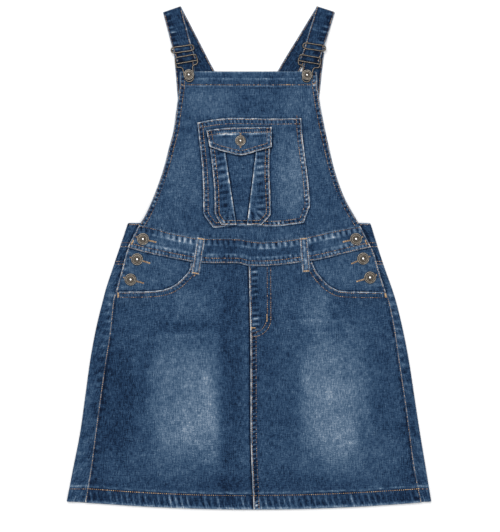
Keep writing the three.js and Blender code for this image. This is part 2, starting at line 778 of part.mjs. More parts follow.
// Small pocket as one cloth folded into an inverted box pleat
function cargoPocket() {
  const bottomLayer = gap + pleatCloth / 2;
  const middleLayer = bottomLayer + pleatStep;
  const topLayer = middleLayer + pleatStep;
  const half = (row, side) => {
    const edge = side < 0 ? row.left : row.right;
    const fold = side < 0 ? row.foldLeft : row.foldRight;
    const inner = fold + side * pleatDepth;
    const section = [
      { x: edge, level: bottomLayer },
      { x: edge - side * stripRise, level: bottomLayer },
      { x: inner + side * stripTurn, level: topLayer },
      { x: fold + side * pleatTurn, level: topLayer },
    ];
    for (const degrees of pleatFoldDegrees) {
      section.push({
        x: fold + side * pleatTurn * (1 - Math.cos(radians(degrees))),
        level: mix(middleLayer, topLayer, 0.5) + pleatTurn * Math.sin(radians(degrees)),
      });
    }
    section.push({ x: fold + side * pleatTurn, level: middleLayer });
    section.push({ x: inner - side * pleatTurn, level: middleLayer });
    for (const degrees of pleatFoldDegrees) {
      section.push({
        x: inner - side * pleatTurn * (1 - Math.cos(radians(degrees))),
        level: mix(bottomLayer, middleLayer, 0.5) + pleatTurn * Math.sin(radians(degrees)),
      });
    }
    section.push({ x: inner - side * pleatTurn, level: bottomLayer });
    return section;
  };
  const middle = cargoRows.map((row) => {
    const centre = { x: (row.foldLeft + row.foldRight) / 2, level: bottomLayer };
    const section = [...half(row, -1), centre, ...half(row, 1).reverse()];
    return section.map((point) => (
      new THREE.Vector3(point.x, row.y, patchTop(point.x, row.y) + point.level)
    ));
  });
  return clothAlong(middle, pleatCloth);
}

function flapBottom(x, y) {
  const top = lookUp(flapColumns, 'x', x, 'top');
  const middle = fallen(Math.abs(x - flapButton.x), slopes.flapSagOut);
  const patchHemTop = patchTop(x, y) + (turned - cloth);
  const sewn = patchHemTop + gap;
  return mix(sewn, patchTop(x, y) + flapLift - flapSag * middle, risen(top - y, slopes.flapOffSeam));
}

function flap() {
  const grid = flapColumns.map((column, i) => flapShares.map((share) => {
    const y = mix(column.top, column.low, share);
    const x = i === 0 ? column.x + flapSlant * share : column.x;
    return lying(x, y, flapBottom(x, y), flapCloth);
  }));
  return wall(grid);
}

// Belt loop laid over the waistband, its lower end sewn to the skirt
function beltLoop(top, low) {
  const run = new THREE.Vector2(low.x - top.x, low.y - top.y);
  const across = new THREE.Vector2(-run.y, run.x).normalize().multiplyScalar(loopWidth / 2);
  const seam = lookUp(waist, 'lowX', low.x, 'lowY');
  const seamShare = (seam - top.y) / run.y;
  const lastOnBand = seamShare + 0.03;
  const shares = [0, 0.3, seamShare - 0.04, lastOnBand, seamShare + 0.12, 0.9, 1];
  const grid = shares.map((share) => [-1, 0, 1].map((side) => {
    const x = top.x + run.x * share + across.x * side;
    const y = top.y + run.y * share + across.y * side;
    const onBand = waistBottom(x, y) + band;
    const level = share <= lastOnBand ? onBand : frontTop(x, y);
    return lying(x, y, level + loopGap, loopCloth);
  }));
  return wall(grid);
}

// Strap: back run, turn at the top, front run, round the buckle's bar and back to the slider
function strapStations(strap, button) {
  const side = Math.sign(strap.fold.x);
  const { waist: start, bibTop, fold, slider } = strap;
  const stations = [];
  const add = (from, to, share, z) => stations.push({
    x: mix(from.x, to.x, share),
    y: mix(from.y, to.y, share),
    z,
    turn: mix(from.turn, to.turn, share),
  });
  const crossing = mix(strapFloor, strapCrossing, strap.over);
  stations.push({ ...start, z: strapFloor, turn: 0 });
  const lower = [
    { share: 0.08, z: strapFloor },
    { share: 0.2, z: strapFloor },
    { share: 0.36, z: crossing },
    { share: 0.52, z: crossing },
    { share: 0.69, z: crossing },
    { share: 0.85, z: strapFloor },
  ];
  for (const row of lower) add(start, bibTop, row.share, row.z);
  for (const share of [0, 0.5, 0.92]) add(bibTop, fold, share, strapFloor);
  const lean = radians(fold.turn);
  for (const degrees of strapTurnDegrees) {
    const out = strapTurnRadius * Math.cos(radians(degrees));
    stations.push({
      x: fold.x - out * Math.sin(lean),
      y: fold.y + out * Math.cos(lean),
      z: strapFloor + strapTurnRadius * (1 + Math.sin(radians(degrees))),
      turn: fold.turn,
    });
  }
  const frontTopHeight = strapFloor + 2 * strapTurnRadius;
  const upper = [
    { share: 0.14, z: frontTopHeight },
    { share: 0.45, z: frontTopHeight + 0.6 },
    { share: 0.72, z: strapFront - 1.0 },
    { share: 0.87, z: strapFront - 0.1 },
    { share: 0.93, z: strapFront },
    { share: 1, z: strapOverBar },
  ];
  for (const row of upper) add(fold, slider, row.share, row.z);
  const barAt = inBuckle(button, side, 0, buckleLoopBar);
  const bar = { x: barAt.x, y: barAt.y, turn: -side * buckleTurn };
  const front = [
    { share: 0.22, z: strapFront },
    { share: 0.55, z: strapFront - 0.1 },
    { share: 0.78, z: strapFront },
    { share: 1, z: loopBarHeight + loopRadius },
  ];
  for (const row of front) add(slider, bar, row.share, row.z);
  for (const degrees of barTurnDegrees) {
    const along = inBuckle(button, side, 0, buckleLoopBar - loopRadius * Math.cos(radians(degrees)));
    stations.push({
      x: along.x,
      y: along.y,
      z: loopBarHeight + loopRadius * Math.sin(radians(degrees)),
      turn: bar.turn,
    });
  }
  for (const share of [1, 0.6, 0.22]) add(slider, bar, share, strapReturn);
  return stations;
}

function ribbon(stations, width, thickness) {
  const middle = stations.map((station) => {
    const across = new THREE.Vector3(Math.cos(radians(station.turn)), Math.sin(radians(station.turn)), 0);
    return [-0.5, 0, 0.5].map((side) => (
      new THREE.Vector3(station.x, station.y, station.z).addScaledVector(across, side * width)
    ));
  });
  return clothAlong(middle, thickness);
}

// Loose end of a strap, hanging from the slider behind the bib
function strapEnd(side) {
  const high = strapCloth + gap + strapFloor;
  const stations = strapEnds.map((row) => ({
    x: side < 0 ? row.x : -row.x + mix(1.2, -3, row.share),
    y: row.y,
    z: mix(strapFloor, high, row.high),
    turn: side * -3,
  }));
  return ribbon(stations, strapWidth, strapCloth);
}

// Place in a buckle's frame, hooked over a button
function inBuckle(button, side, across, up) {
  const turn = radians(-side * buckleTurn);
  return new THREE.Vector3(
    button.x + across * Math.cos(turn) - up * Math.sin(turn),
    button.y + across * Math.sin(turn) + up * Math.cos(turn),
    0,
  );
}

function wire(points, steps) {
  const round = new THREE.Shape(Array.from({ length: wireSides }, (_, i) => (
    new THREE.Vector2(wireRadius, 0).rotateAround(new THREE.Vector2(), 2 * Math.PI * i / wireSides)
  )));
  const extrudePath = new THREE.CatmullRomCurve3(points, false, 'centripetal');
  return new THREE.ExtrudeGeometry(round, { steps, extrudePath, bevelEnabled: false });
}

function solidOf(geometry) {
  const plain = geometry.clone();
  plain.deleteAttribute('normal');
  plain.deleteAttribute('uv');
  const merged = mergeVertices(plain, 1e-3);
  return new wasm.Manifold(new wasm.Mesh({
    numProp: 3,
    vertProperties: new Float32Array(merged.attributes.position.array),
    triVerts: new Uint32Array(merged.index.array),
  }));
}

function joined(geometries) {
  const whole = geometries.map(solidOf).reduce((sum, solid) => sum.add(solid));
  const mesh = whole.getMesh();
  const geometry = new THREE.BufferGeometry();
  geometry.setAttribute('position', new THREE.Float32BufferAttribute(mesh.vertProperties, 3));
  geometry.setIndex([...mesh.triVerts]);
  return geometry;
}

// Wire slider: a long ring with round ends whose wire meets itself at the cross bar
function slider(place) {
  const turn = radians(place.turn);
  const put = (across, up, height) => new THREE.Vector3(
    place.x + across * Math.cos(turn) - up * Math.sin(turn),
    place.y + across * Math.sin(turn) + up * Math.cos(turn),
    height,
  );
  const straight = (sliderWidth - sliderDepth) / 2;
  const ring = [];
  for (const [side, first] of [[1, -90], [-1, 90]]) {
    for (let degrees = first; degrees <= first + 180; degrees += 45) {
      const across = side * straight + sliderDepth / 2 * Math.cos(radians(degrees));
      ring.push(put(across, sliderDepth / 2 * Math.sin(radians(degrees)), sliderHeight));
    }
  }
  const overlap = 0.4;
  const atBar = (across, edge) => put(across, edge * sliderDepth / 2, sliderHeight);
  const upperHalf = [atBar(0, -1), ...ring.slice(0, 5), atBar(0, 1)];
  const lowerHalf = [atBar(overlap, 1), ...ring.slice(5), atBar(overlap, -1)];
  const end = straight + sliderDepth / 2;
  const bar = [
    put(-end, 0, sliderHeight),
    put(-end + 0.9, 0, sliderBarHeight + 0.9),
    put(-end + 3.6, 0, sliderBarHeight),
    put(end - 3.6, 0, sliderBarHeight),
    put(end - 0.9, 0, sliderBarHeight + 0.9),
    put(end, 0, sliderHeight),
  ];
  return joined([wire(upperHalf, sliderSteps), wire(lowerHalf, sliderSteps), wire(bar, sliderBarSteps)]);
}

// Wire buckle: two halves of one wire form, with a bar for the strap and one below it
function buckle(button, side) {
  const put = (across, up, height) => inBuckle(button, side, across, up).setZ(height);
  const half = (mirror) => [
    put(mirror * -0.4, buckleTopBar, 8.9),
    ...buckleHalf.map((row) => put(mirror * row.across, row.up, row.height)),
    put(mirror * -0.4, buckleTip, 7.7),
  ];
  const bar = (up, height) => [put(-buckleReach, up, height), put(buckleReach, up, height)];
  return joined([
    wire(half(1), buckleSteps),
    wire(half(-1), buckleSteps),
    wire(bar(buckleLoopBar, loopBarHeight), 1),
    wire(bar(buckleLowBar, loopBarHeight + 0.4), 1),
  ]);
}

// Round metal button: a foot, a rim and a shallow dish with a raised middle
function button(radius, foot) {
  const profile = [
    new THREE.Vector2(0, 0),
    new THREE.Vector2(buttonFoot, 0),
    new THREE.Vector2(buttonFoot, foot),
    new THREE.Vector2(radius - 0.5, foot),
    new THREE.Vector2(radius, foot + 0.8),
    new THREE.Vector2(radius - 0.9, foot + 1.9),
    new THREE.Vector2(radius * 0.62, foot + 1.5),
    new THREE.Vector2(0, foot + 2.1),
  ];
  return new THREE.LatheGeometry(profile, buttonSegments).rotateX(Math.PI / 2);
}

const group = new THREE.Group();

function add(name, geometry, material) {
  const mesh = new THREE.Mesh(geometry, material);
  mesh.name = name;
  group.add(mesh);
  return mesh;
}

add('back_waistband', backWaistband(), denim);
add('back_yoke_left', backYoke(-1), denim);
add('back_yoke_right', backYoke(1), denim);
add('back_skirt_left', backSkirt(-1), denim);
add('back_skirt_right', backSkirt(1), denim);
add('hip_left', hip(-1), denim);
add('hip_right', hip(1), denim);
add('front_skirt_left', frontSkirt(-1), denim);
add('front_skirt_right', frontSkirt(1), denim);
add('front_waistband', frontWaistband(), denim);
add('bib', bib(), denim);
add('bib_pocket', patchPocket(), denim);
add('pleated_pocket', cargoPocket(), denim);
add('pocket_flap', flap(), denim);
add('belt_loop_left', beltLoop({ x: -75.6, y: 32.2 }, { x: -85.5, y: -27.0 }), denim);
add('belt_loop_right', beltLoop({ x: 87.6, y: 32.4 }, { x: 92.2, y: -23.6 }), denim);
add('strap_left', ribbon(strapStations(leftStrap, bibButtons[0]), strapWidth, strapCloth), denim);
add('strap_right', ribbon(strapStations(rightStrap, bibButtons[1]), strapWidth, strapCloth), denim);
add('strap_end_left', strapEnd(-1), denimInside);
add('strap_end_right', strapEnd(1), denimInside);
add('slider_left', slider(leftStrap.slider), metal);
add('slider_right', slider(rightStrap.slider), metal);
add('buckle_left', buckle(bibButtons[0], -1), metal);
add('buckle_right', buckle(bibButtons[1], 1), metal);

for (const place of bibButtons) {
  const mesh = add(place.name, button(smallButton, hookedFoot), metal);
  mesh.position.set(place.x, place.y, bibBottom(place.x, place.y) + turned + gap);
}
const onFlap = add(flapButton.name, button(smallButton, plainFoot), metal);
onFlap.position.set(flapButton.x, flapButton.y, flapBottom(flapButton.x, flapButton.y) + flapCloth + gap);
for (const place of sideButtons) {
  const level = place.onBand
    ? waistBottom(place.x, place.y) + band
    : hipBottom(place.x, place.y) + cloth;
  const mesh = add(place.name, button(sideButton, plainFoot), metal);
  mesh.position.set(place.x, place.y, level + gap);
}

export default group;
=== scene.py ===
import math

import bpy
import numpy as np
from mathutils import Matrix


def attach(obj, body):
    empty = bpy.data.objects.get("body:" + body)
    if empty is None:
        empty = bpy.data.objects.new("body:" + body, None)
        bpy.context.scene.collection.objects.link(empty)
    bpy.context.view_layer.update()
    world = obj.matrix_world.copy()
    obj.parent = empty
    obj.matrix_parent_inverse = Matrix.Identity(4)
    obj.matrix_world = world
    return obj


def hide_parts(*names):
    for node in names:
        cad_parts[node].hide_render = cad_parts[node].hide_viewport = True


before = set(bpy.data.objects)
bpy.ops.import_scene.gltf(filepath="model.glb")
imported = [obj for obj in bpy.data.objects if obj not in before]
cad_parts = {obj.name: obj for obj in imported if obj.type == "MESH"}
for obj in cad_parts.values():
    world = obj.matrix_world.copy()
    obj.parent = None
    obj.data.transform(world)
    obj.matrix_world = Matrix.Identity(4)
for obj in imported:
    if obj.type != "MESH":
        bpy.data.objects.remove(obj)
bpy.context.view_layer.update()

# Denim pinafore dress laid on its back. Lengths below are millimetres, and the mesh makers turn them into
# metres. X runs to the right of the dress as seen, Y from hem to straps, Z up from the floor.
metre = 0.001


def table(columns, rows):
    """Rows of a table by the names of their columns."""
    names = columns.split()
    return [dict(zip(names, row)) for row in rows]


# Cloth and the gap that stacked pieces keep
cloth = 1.2
turned = 2.4
band = 2.4
pleat_cloth = 1.0
strap_cloth = 1.6
gap = 0.3

# Heights of the layers above the floor
fold_height = 4.6
band_fold_height = 5.8
hem_fold_height = 6.2
front_rest = 1.8
hem_rest = 2.8
waist_rest = 2.8
bib_rest = 2.1
bib_raised = 3.8
over_band_fold = 6.1

# Hems and laps
hem_depth = 20
hem_step = 1.5
bib_top_hem = 21.6
bib_side_hem = 7.5
centre_lap = 8
button_underlap = 25
pocket_underlap = 7

# Straps, loops and metal
strap_width = 30
loop_width = 12.3
loop_cloth = 1.6
loop_fall_start = 1.5
loop_fall = 6
loop_lift = 0.1
loop_tack = 2.2
loop_tack_width = 2.6
wire_radius = 1.2
wire_sides = 14
button_segments = 72

# Fold of the sides and the seams that lie on the front, from waist to hem
sides = table("y left_fold left_seam right_seam right_fold", [
    (55.4, -193.5, -173.5, 176.5, 194.8),
    (34.6, -200.4, -184.8, 188.0, 201.2),
    (9.0, -209.2, -195.0, 199.5, 209.2),
    (-19.8, -218.8, -202.8, 207.8, 218.8),
    (-48.6, -228.4, -210.8, 217.0, 229.2),
    (-71.0, -234.4, -217.2, 225.2, 236.2),
    (-115.8, -245.2, -222.0, 234.5, 247.0),
    (-163.8, -254.0, -229.5, 241.5, 256.4),
    (-221.4, -262.0, -237.7, 250.2, 265.2),
    (-279.0, -270.0, -245.5, 258.0, 274.0),
    (-336.6, -281.2, -253.0, 265.7, 283.6),
    (-391.0, -291.8, -261.8, 276.4, 292.4),
])

# Front waistband: its lower and upper edge
waist = table("low_x low_y top_x top_y", [
    (-193.4, 16.2, -174.8, 52.6),
    (-161.4, 7.6, -150.0, 47.4),
    (-135.3, 2.2, -126.6, 40.7),
    (-110.0, -3.1, -102.8, 35.8),
    (-87.6, -6.6, -82.8, 32.1),
    (-54.0, -8.7, -51.6, 31.1),
    (-18.8, -8.6, -17.2, 30.8),
    (1.2, -12.7, 1.2, 27.6),
    (21.2, -13.2, 21.2, 25.7),
    (43.6, -11.9, 43.1, 27.0),
    (83.6, -7.0, 80.4, 31.6),
    (106.8, -3.8, 102.8, 35.9),
    (149.2, 6.0, 138.8, 43.8),
    (195.1, 16.7, 177.7, 50.8),
])

# Bib: left and right edge from the top hem down to the waistband
bib_rows = table("y left right", [
    (297.8, -110.0, 109.2),
    (277.8, -110.0, 109.2),
    (258.6, -112.4, 111.6),
    (233.0, -116.1, 116.1),
    (204.2, -120.2, 122.0),
    (175.4, -127.6, 128.4),
    (149.8, -134.0, 134.3),
    (124.2, -142.0, 142.0),
    (98.6, -151.6, 151.6),
    (79.4, -159.6, 161.2),
    (65.0, -166.8, 169.7),
    (52.6, -174.8, 177.7),
])

# Curved openings of the hip pockets, from the waistband to the side
left_pocket = table("x y", [
    (-92.7, -7.0), (-93.2, -14.0), (-95.9, -21.7), (-104.1, -31.4), (-117.2, -43.0),
    (-130.3, -49.5), (-146.6, -53.0), (-172.7, -54.3), (-190.0, -54.4), (-211.4, -54.5),
])
right_pocket = table("x y", [
    (100.4, -4.6), (103.4, -12.6), (110.0, -24.6), (119.1, -35.6), (130.2, -45.7),
    (146.6, -53.2), (171.4, -54.6), (195.0, -55.0), (218.8, -55.2),
])

# Front skirt below the pockets: height of a row at the side and at the centre seam
skirt_rows = table("side centre", [
    (-63.5, -80.0), (-73.0, -90.0), (-115.8, -122.0), (-163.8, -168.0),
    (-221.4, -225.0), (-279.0, -284.0), (-336.6, -343.0),
])
pocket_centre_top = -13.0
pocket_centre_low = -75.0
hem_side = -391.5
hem_centre = -403.1
back_hem_rise = 1.0
back_hem_inset = 1.2
centre_seam = table("y x", [(-12.7, 0.1), (-83.8, 1.7), (-147.8, 2.8), (-275.8, 3.0), (-403.1, 7.8)])

# Back pieces: heights of their seams at the side fold and at the centre back
back_band_top = (55.0, 58.0)
back_band_low = (16.5, 20.0)
yoke_seam = (-11.5, -44.0)
back_rows = table("side centre", [(-30, -58), (-45, -70), (-50.5, -76), (-71, -92)])
closure_end = -50
closure_end_slope = 4

# Large patch pocket on the bib
patch_rows = table("y left right", [
    (222.8, -81.7, 83.6), (196.2, -79.6, 85.5), (167.4, -76.6, 89.0), (135.4, -73.7, 93.4),
    (105.8, -72.7, 96.4), (82.6, -72.6, 97.7), (75.3, -72.6, 95.0), (56.2, -57.2, 87.8),
])
patch_edges = table("x top low", [
    (-81.7, 215.9, 56.2), (-55.6, 220.6, 48.2), (-25.2, 223.1, 50.9), (0.0, 222.8, 50.8),
    (38.8, 222.2, 50.5), (83.6, 222.8, 55.4), (87.8, 222.8, 56.2),
])
patch_hem = 16

# Small pleated pocket: its edges and the fold edges of its inverted pleat
cargo_rows = table("y left fold_left fold_right right", [
    (192.0, -63.8, -41.6, 14.8, 34.3), (172.2, -61.5, -38.8, 12.4, 33.7),
    (135.4, -57.2, -33.2, 7.9, 32.7), (105.8, -54.8, -28.6, 4.2, 34.0),
    (71.4, -54.0, -23.3, -0.2, 35.0), (52.6, -43.6, -20.2, -2.6, 20.4),
])
pleat_depth = 8
pleat_step = 1.2
pleat_turn = 0.6
strip_rise = 5

# Pointed flap over the small pocket
flap_columns = table("x top low", [
    (-67.6, 203.1, 177.0), (-37.0, 206.8, 169.0), (-13.2, 207.8, 163.9),
    (14.8, 208.3, 170.6), (36.4, 208.7, 176.9),
])
flap_cloth = 1.8
flap_lift = 4.4
flap_sag = 1.0
flap_slant = 5.6

# Belt loops: the middle of their upper and lower end
loops = table("name top_x top_y low_x low_y", [
    ("belt_loop_left", -75.6, 32.2, -85.5, -27.0),
    ("belt_loop_right", 87.6, 32.4, 92.2, -23.6),
])
loop_lines = [np.array([(p["top_x"], p["top_y"]), (p["low_x"], p["low_y"])]) for p in loops]

# Straps: points of the centre line on the plan, with the angle of the strap's cross line
straps = {
    -1: dict(waist=(68.0, 58.6, 29), bib_top=(-71.9, 298.6, 27.5), fold=(-122.4, 396.0, 19.2),
             slider=(-105.8, 333.5, 8), over=1, button=(-95.8, 292.4)),
    1: dict(waist=(-68.0, 58.6, -29), bib_top=(63.4, 298.3, -29), fold=(122.7, 396.2, -18),
            slider=(104.6, 336.6, -8.5), over=0, button=(93.2, 291.9)),
}
strap_ends = table("share x y high", [
    (0, -104.6, 329.5, 1), (0.3, -102.0, 300.0, 1), (0.5, -99.5, 268.0, 1),
    (0.75, -97.0, 240.0, 0), (1, -94.0, 212.0, 0),
])
strap_floor = strap_cloth / 2
strap_crossing = strap_cloth * 1.5 + gap
strap_turn_radius = 1.4
strap_front = 6.5
strap_over_bar = 7.3
loop_bar_height = 6.8
loop_radius = 2.3
strap_return = loop_bar_height - loop_radius

# Wire slider and wire buckle
slider_width = 36.2
slider_depth = 8.8
slider_height = 8.9
slider_bar_height = 5.0
buckle_turn = 10
buckle_top_bar = 30.3
buckle_loop_bar = 25.3
buckle_low_bar = 20.6
buckle_half = table("across up height", [
    (13.0, 30.3, 8.9), (16.2, 29.1, 8.9), (17.2, 25.3, 8.0), (17.4, 18.6, 7.6), (15.6, 14.9, 7.7),
    (10.6, 13.8, 7.7), (8.1, 11.2, 7.7), (7.6, 5.0, 7.7), (7.1, -3.0, 7.7), (4.6, -9.2, 7.7),
])
buckle_reach = 17.2
buckle_tip = -11.2
bar_bend = 0.9
bar_inset = 3.6
wire_overlap = 0.4

# Buttons: place, radius of the head, height of the foot, and the piece that they stand on
buttons = table("name x y radius foot stands_on", [
    ("button_bib_left", -95.8, 292.4, 8.5, 2.7, "bib"),
    ("button_bib_right", 93.2, 291.9, 8.5, 2.7, "bib"),
    ("button_flap", -13.2, 186.6, 8.5, 0.9, "flap"),
    ("button_waist_left", -169.0, 29.7, 9.65, 0.9, "band"),
    ("button_hip_left_upper", -178.6, -2.6, 9.65, 0.9, "hip"),
    ("button_hip_left_lower", -189.0, -35.0, 9.65, 0.9, "hip"),
    ("button_waist_right", 171.4, 29.8, 9.65, 0.9, "band"),
    ("button_hip_right_upper", 183.0, -1.5, 9.65, 0.9, "hip"),
    ("button_hip_right_lower", 194.0, -31.8, 9.65, 0.9, "hip"),
])
button_foot = 3.4
button_at = {place["name"]: place for place in buttons}


def ease(value):
    """0 below zero, 1 above one, smooth between."""
    share = np.clip(value, 0, 1)
    return share * share * (3 - 2 * share)


def mix(low, high, share):
    return low + (high - low) * share


def curve(rows, along, name):
    """Smooth line through two columns of a table, straight on past its ends."""
    pairs = sorted((row[along], row[name]) for row in rows)
    x, y = np.array(pairs, float).T
    step = np.diff(x)
    slope = np.diff(y) / step
    lean = np.concatenate([slope[:1], slope[:-1], slope[-1:]])
    product = slope[:-1] * slope[1:]
    total = slope[:-1] + slope[1:]
    lean[1:-1] = np.where(product > 0, 2 * product / np.where(total == 0, 1, total), 0)

    def at(place):
        place = np.asarray(place, float)
        low = np.clip(np.searchsorted(x, place, side="right") - 1, 0, len(step) - 1)
        t = (place - x[low]) / step[low]
        inside = np.clip(t, 0, 1)
        square, cube = inside ** 2, inside ** 3
        value = (2 * cube - 3 * square + 1) * y[low] + (3 * square - 2 * cube) * y[low + 1]
        value += step[low] * ((cube - 2 * square + inside) * lean[low] + (cube - square) * lean[low + 1])
        past = (t - inside) * step[low]
        return value + past * np.where(t < 0, lean[low], lean[low + 1])

    return at


left_fold, left_seam, right_seam, right_fold = (
    curve(sides, "y", name) for name in ("left_fold", "left_seam", "right_seam", "right_fold"))
waist_low = curve(waist, "low_x", "low_y")
waist_top = curve(waist, "top_x", "top_y")
bib_left, bib_right = curve(bib_rows, "y", "left"), curve(bib_rows, "y", "right")
patch_left, patch_right = curve(patch_rows, "y", "left"), curve(patch_rows, "y", "right")
patch_top_edge, patch_low_edge = curve(patch_edges, "x", "top"), curve(patch_edges, "x", "low")
centre_line = curve(centre_seam, "y", "x")
flap_top_edge, flap_low_edge = curve(flap_columns, "x", "top"), curve(flap_columns, "x", "low")


def fold_at(x, y):
    return np.where(np.asarray(x) < 0, left_fold(y), right_fold(y))


def seam_at(x, y):
    return np.where(np.asarray(x) < 0, left_seam(y), right_seam(y))


def chance(index, seed):
    """Number from 0 to 1 that belongs to a whole number."""
    return np.modf(np.abs(np.sin(index * 12.9898 + seed * 78.233) * 43758.5453))[0]


def wobble(place, seed):
    """Uneven wave along a line, from -1 to 1, with a bump or dip about every unit."""
    low = np.floor(place)
    share = ease(place - low)
    return 2 * mix(chance(low, seed), chance(low + 1, seed), share) - 1


def mottle(x, y, size, seed):
    """Uneven patches over the plan, from -1 to 1, about as wide as size."""
    column, row = np.floor(x / size), np.floor(y / size)
    across, up = ease(x / size - column), ease(y / size - row)
    cell = column * 57 + row * 131
    low = mix(chance(cell, seed), chance(cell + 57, seed), across)
    high = mix(chance(cell + 131, seed), chance(cell + 188, seed), across)
    return 2 * mix(low, high, up) - 1


def run_along(points):
    """How far along a line each of its points lies."""
    return np.concatenate([[0], np.cumsum(np.linalg.norm(np.diff(points, axis=0), axis=1))])


line_step = 4.0


def smooth_line(points):
    """Points every few millimetres on a smooth line through the given ones."""
    points = np.array(points, float)
    run = run_along(points)
    rows = table("run x y", np.column_stack([run, points]))
    places = np.linspace(0, run[-1], max(2, int(run[-1] / line_step) + 1))
    return np.stack([curve(rows, "run", "x")(places), curve(rows, "run", "y")(places)], 1)


def beside(line, x, y):
    """For every place, how far along a line it lies and how far to the line's left."""
    line = np.asarray(line, float)
    nearest = np.full(np.shape(x), np.inf)
    along = np.zeros(np.shape(x))
    aside = np.zeros(np.shape(x))
    run = 0.0
    last = len(line) - 2
    for i, (start, end) in enumerate(zip(line[:-1], line[1:])):
        step = end - start
        length = math.hypot(*step)
        across, up = step / length
        ahead = (x - start[0]) * across + (y - start[1]) * up
        left = (y - start[1]) * across - (x - start[0]) * up
        low = -np.inf if i == 0 else 0
        high = np.inf if i == last else length
        held = np.clip(ahead, low, high)
        distance = np.hypot(left, ahead - held)
        closer = distance < nearest - 1e-9
        nearest = np.where(closer, distance, nearest)
        along = np.where(closer, run + held, along)
        aside = np.where(closer, np.where(left < 0, -distance, distance), aside)
        run += length
    return along, aside, run


# Heights of the layers on the plan, as in the CAD. Where a layer lies over another one it stays up for the
# length called flat and comes down over the length called slope.
side_flat = 26
side_slope = 40
pocket_flat = 10
pocket_slope = 16
hip_flat = 5
hip_slope = 46
waist_flat = 6
waist_slope = 32
crossing_x = -2
crossing_y = 172
crossing_flat = 62
crossing_slope = 60
ends_low = 226
ends_rise = 34
ends_inner = 24
ends_slope = 44
bib_foot = 62
bib_foot_slope = 40
corner_rise = 42
corner_flat = 32
corner_slope = 32
lap_step = 0.5
top_hem_step = 1.2
flap_sag_reach = 34
flap_slope = 10


def hem_low(x):
    half = np.where(np.asarray(x) < 0, sides[-1]["left_seam"], sides[-1]["right_seam"])
    return mix(hem_centre, hem_side, np.clip(x / half, 0, 1) ** 2)


def hem_share(x, y):
    return np.clip((hem_low(x) + hem_depth + hem_step - y) / hem_step, 0, 1)


ridges = table("x y angle length width height", [
    (-150, -170, 82, 150, 26, 0.9), (-60, -250, 96, 210, 30, 0.8), (95, -190, 80, 190, 32, 0.9),
    (190, -250, 100, 180, 26, 0.8), (-190, -300, 105, 120, 24, 0.7),
])


def from_middle(row, x, y):
    """How far places lie along and aside of a row's middle, in the row's direction."""
    cos, sin = math.cos(math.radians(row["angle"])), math.sin(math.radians(row["angle"]))
    return (x - row["x"]) * cos + (y - row["y"]) * sin, (y - row["y"]) * cos - (x - row["x"]) * sin


def ridge_height(x, y):
    height = 0
    for ridge in ridges:
        along, aside = from_middle(ridge, x, y)
        fade = ease(1 - np.abs(along) / (ridge["length"] / 2)) * ease(1 - np.abs(aside) / ridge["width"])
        height = height + ridge["height"] * fade
    return height


def inside_seam(x, y):
    """How far a place lies inside the side seam."""
    return np.abs(seam_at(x, y)) - np.abs(x)


def hip_bottom(x, y):
    high = ease(1 - (inside_seam(x, y) - button_underlap - hip_flat) / hip_slope)
    return mix(front_rest, fold_height + gap, high)


pockets = {-1: left_pocket, 1: right_pocket}
pocket_lines = {side: np.array([(p["x"], p["y"]) for p in pocket]) for side, pocket in pockets.items()}


def pocket_distance(x, y):
    found = np.full(np.shape(x), np.inf)
    for line in pocket_lines.values():
        for start, end in zip(line[:-1], line[1:]):
            run = end - start
            share = np.clip(((x - start[0]) * run[0] + (y - start[1]) * run[1]) / (run @ run), 0, 1)
            found = np.minimum(found, np.hypot(x - start[0] - share * run[0], y - start[1] - share * run[1]))
    return found


def front_bottom(x, y):
    hem = hem_share(x, y)
    from_fold = np.abs(fold_at(x, y)) - np.abs(x)
    at_side = mix(fold_height - cloth, hem_fold_height - turned, hem)
    inside = mix(front_rest, hem_rest, hem) + ridge_height(x, y)
    plain = mix(at_side, inside, ease((from_fold - side_flat) / side_slope))
    lift = ease(1 - (pocket_distance(x, y) - pocket_flat) / pocket_slope)
    return mix(plain, hip_bottom(x, y) + cloth + gap, lift)


def front_thickness(x, y):
    lap = x - centre_line(y)
    lapped = ease(lap / lap_step) * ease((centre_lap + lap_step - lap) / (2 * lap_step)) * (turned - cloth)
    hem = hem_share(x, y)
    return mix(cloth, turned, hem) + lapped * (1 - hem)


def waist_bottom(x, y):
    high = ease(1 - (inside_seam(x, y) - button_underlap - waist_flat) / waist_slope)
    return mix(waist_rest, over_band_fold, high)


def bib_bottom(x, y):
    from_crossing = np.hypot(x - crossing_x, y - crossing_y)
    crossing = ease(1 - (from_crossing - crossing_flat) / crossing_slope)
    over_ends = ease((y - ends_low) / ends_rise) * ease((np.abs(x) - ends_inner) / ends_slope)
    plain = mix(waist_rest, bib_rest, ease((y - bib_foot) / bib_foot_slope))
    raised = mix(plain, bib_raised, np.maximum(crossing, over_ends))
    beside_seam = ease(1 - (inside_seam(x, y) - corner_flat) / corner_slope)
    return mix(raised, over_band_fold, ease(1 - (y - bib_foot) / corner_rise) * beside_seam)


def bib_thickness(x, y):
    from_top = bib_rows[0]["y"] - y
    from_edge = np.minimum(x - bib_left(y), bib_right(y) - x)
    top_hem = ease((bib_top_hem + top_hem_step / 2 - from_top) / top_hem_step)
    side_hem = ease((bib_side_hem + top_hem_step / 2 - from_edge) / top_hem_step)
    return mix(cloth, turned, np.maximum(top_hem, side_hem))


def patch_bottom(x, y):
    return bib_bottom(x, y) + cloth + 2 * gap


def patch_thickness(x, y):
    return mix(cloth, turned, ease((y - patch_rows[0]["y"] + patch_hem + top_hem_step) / top_hem_step))


def patch_face(x, y):
    return patch_bottom(x, y) + cloth


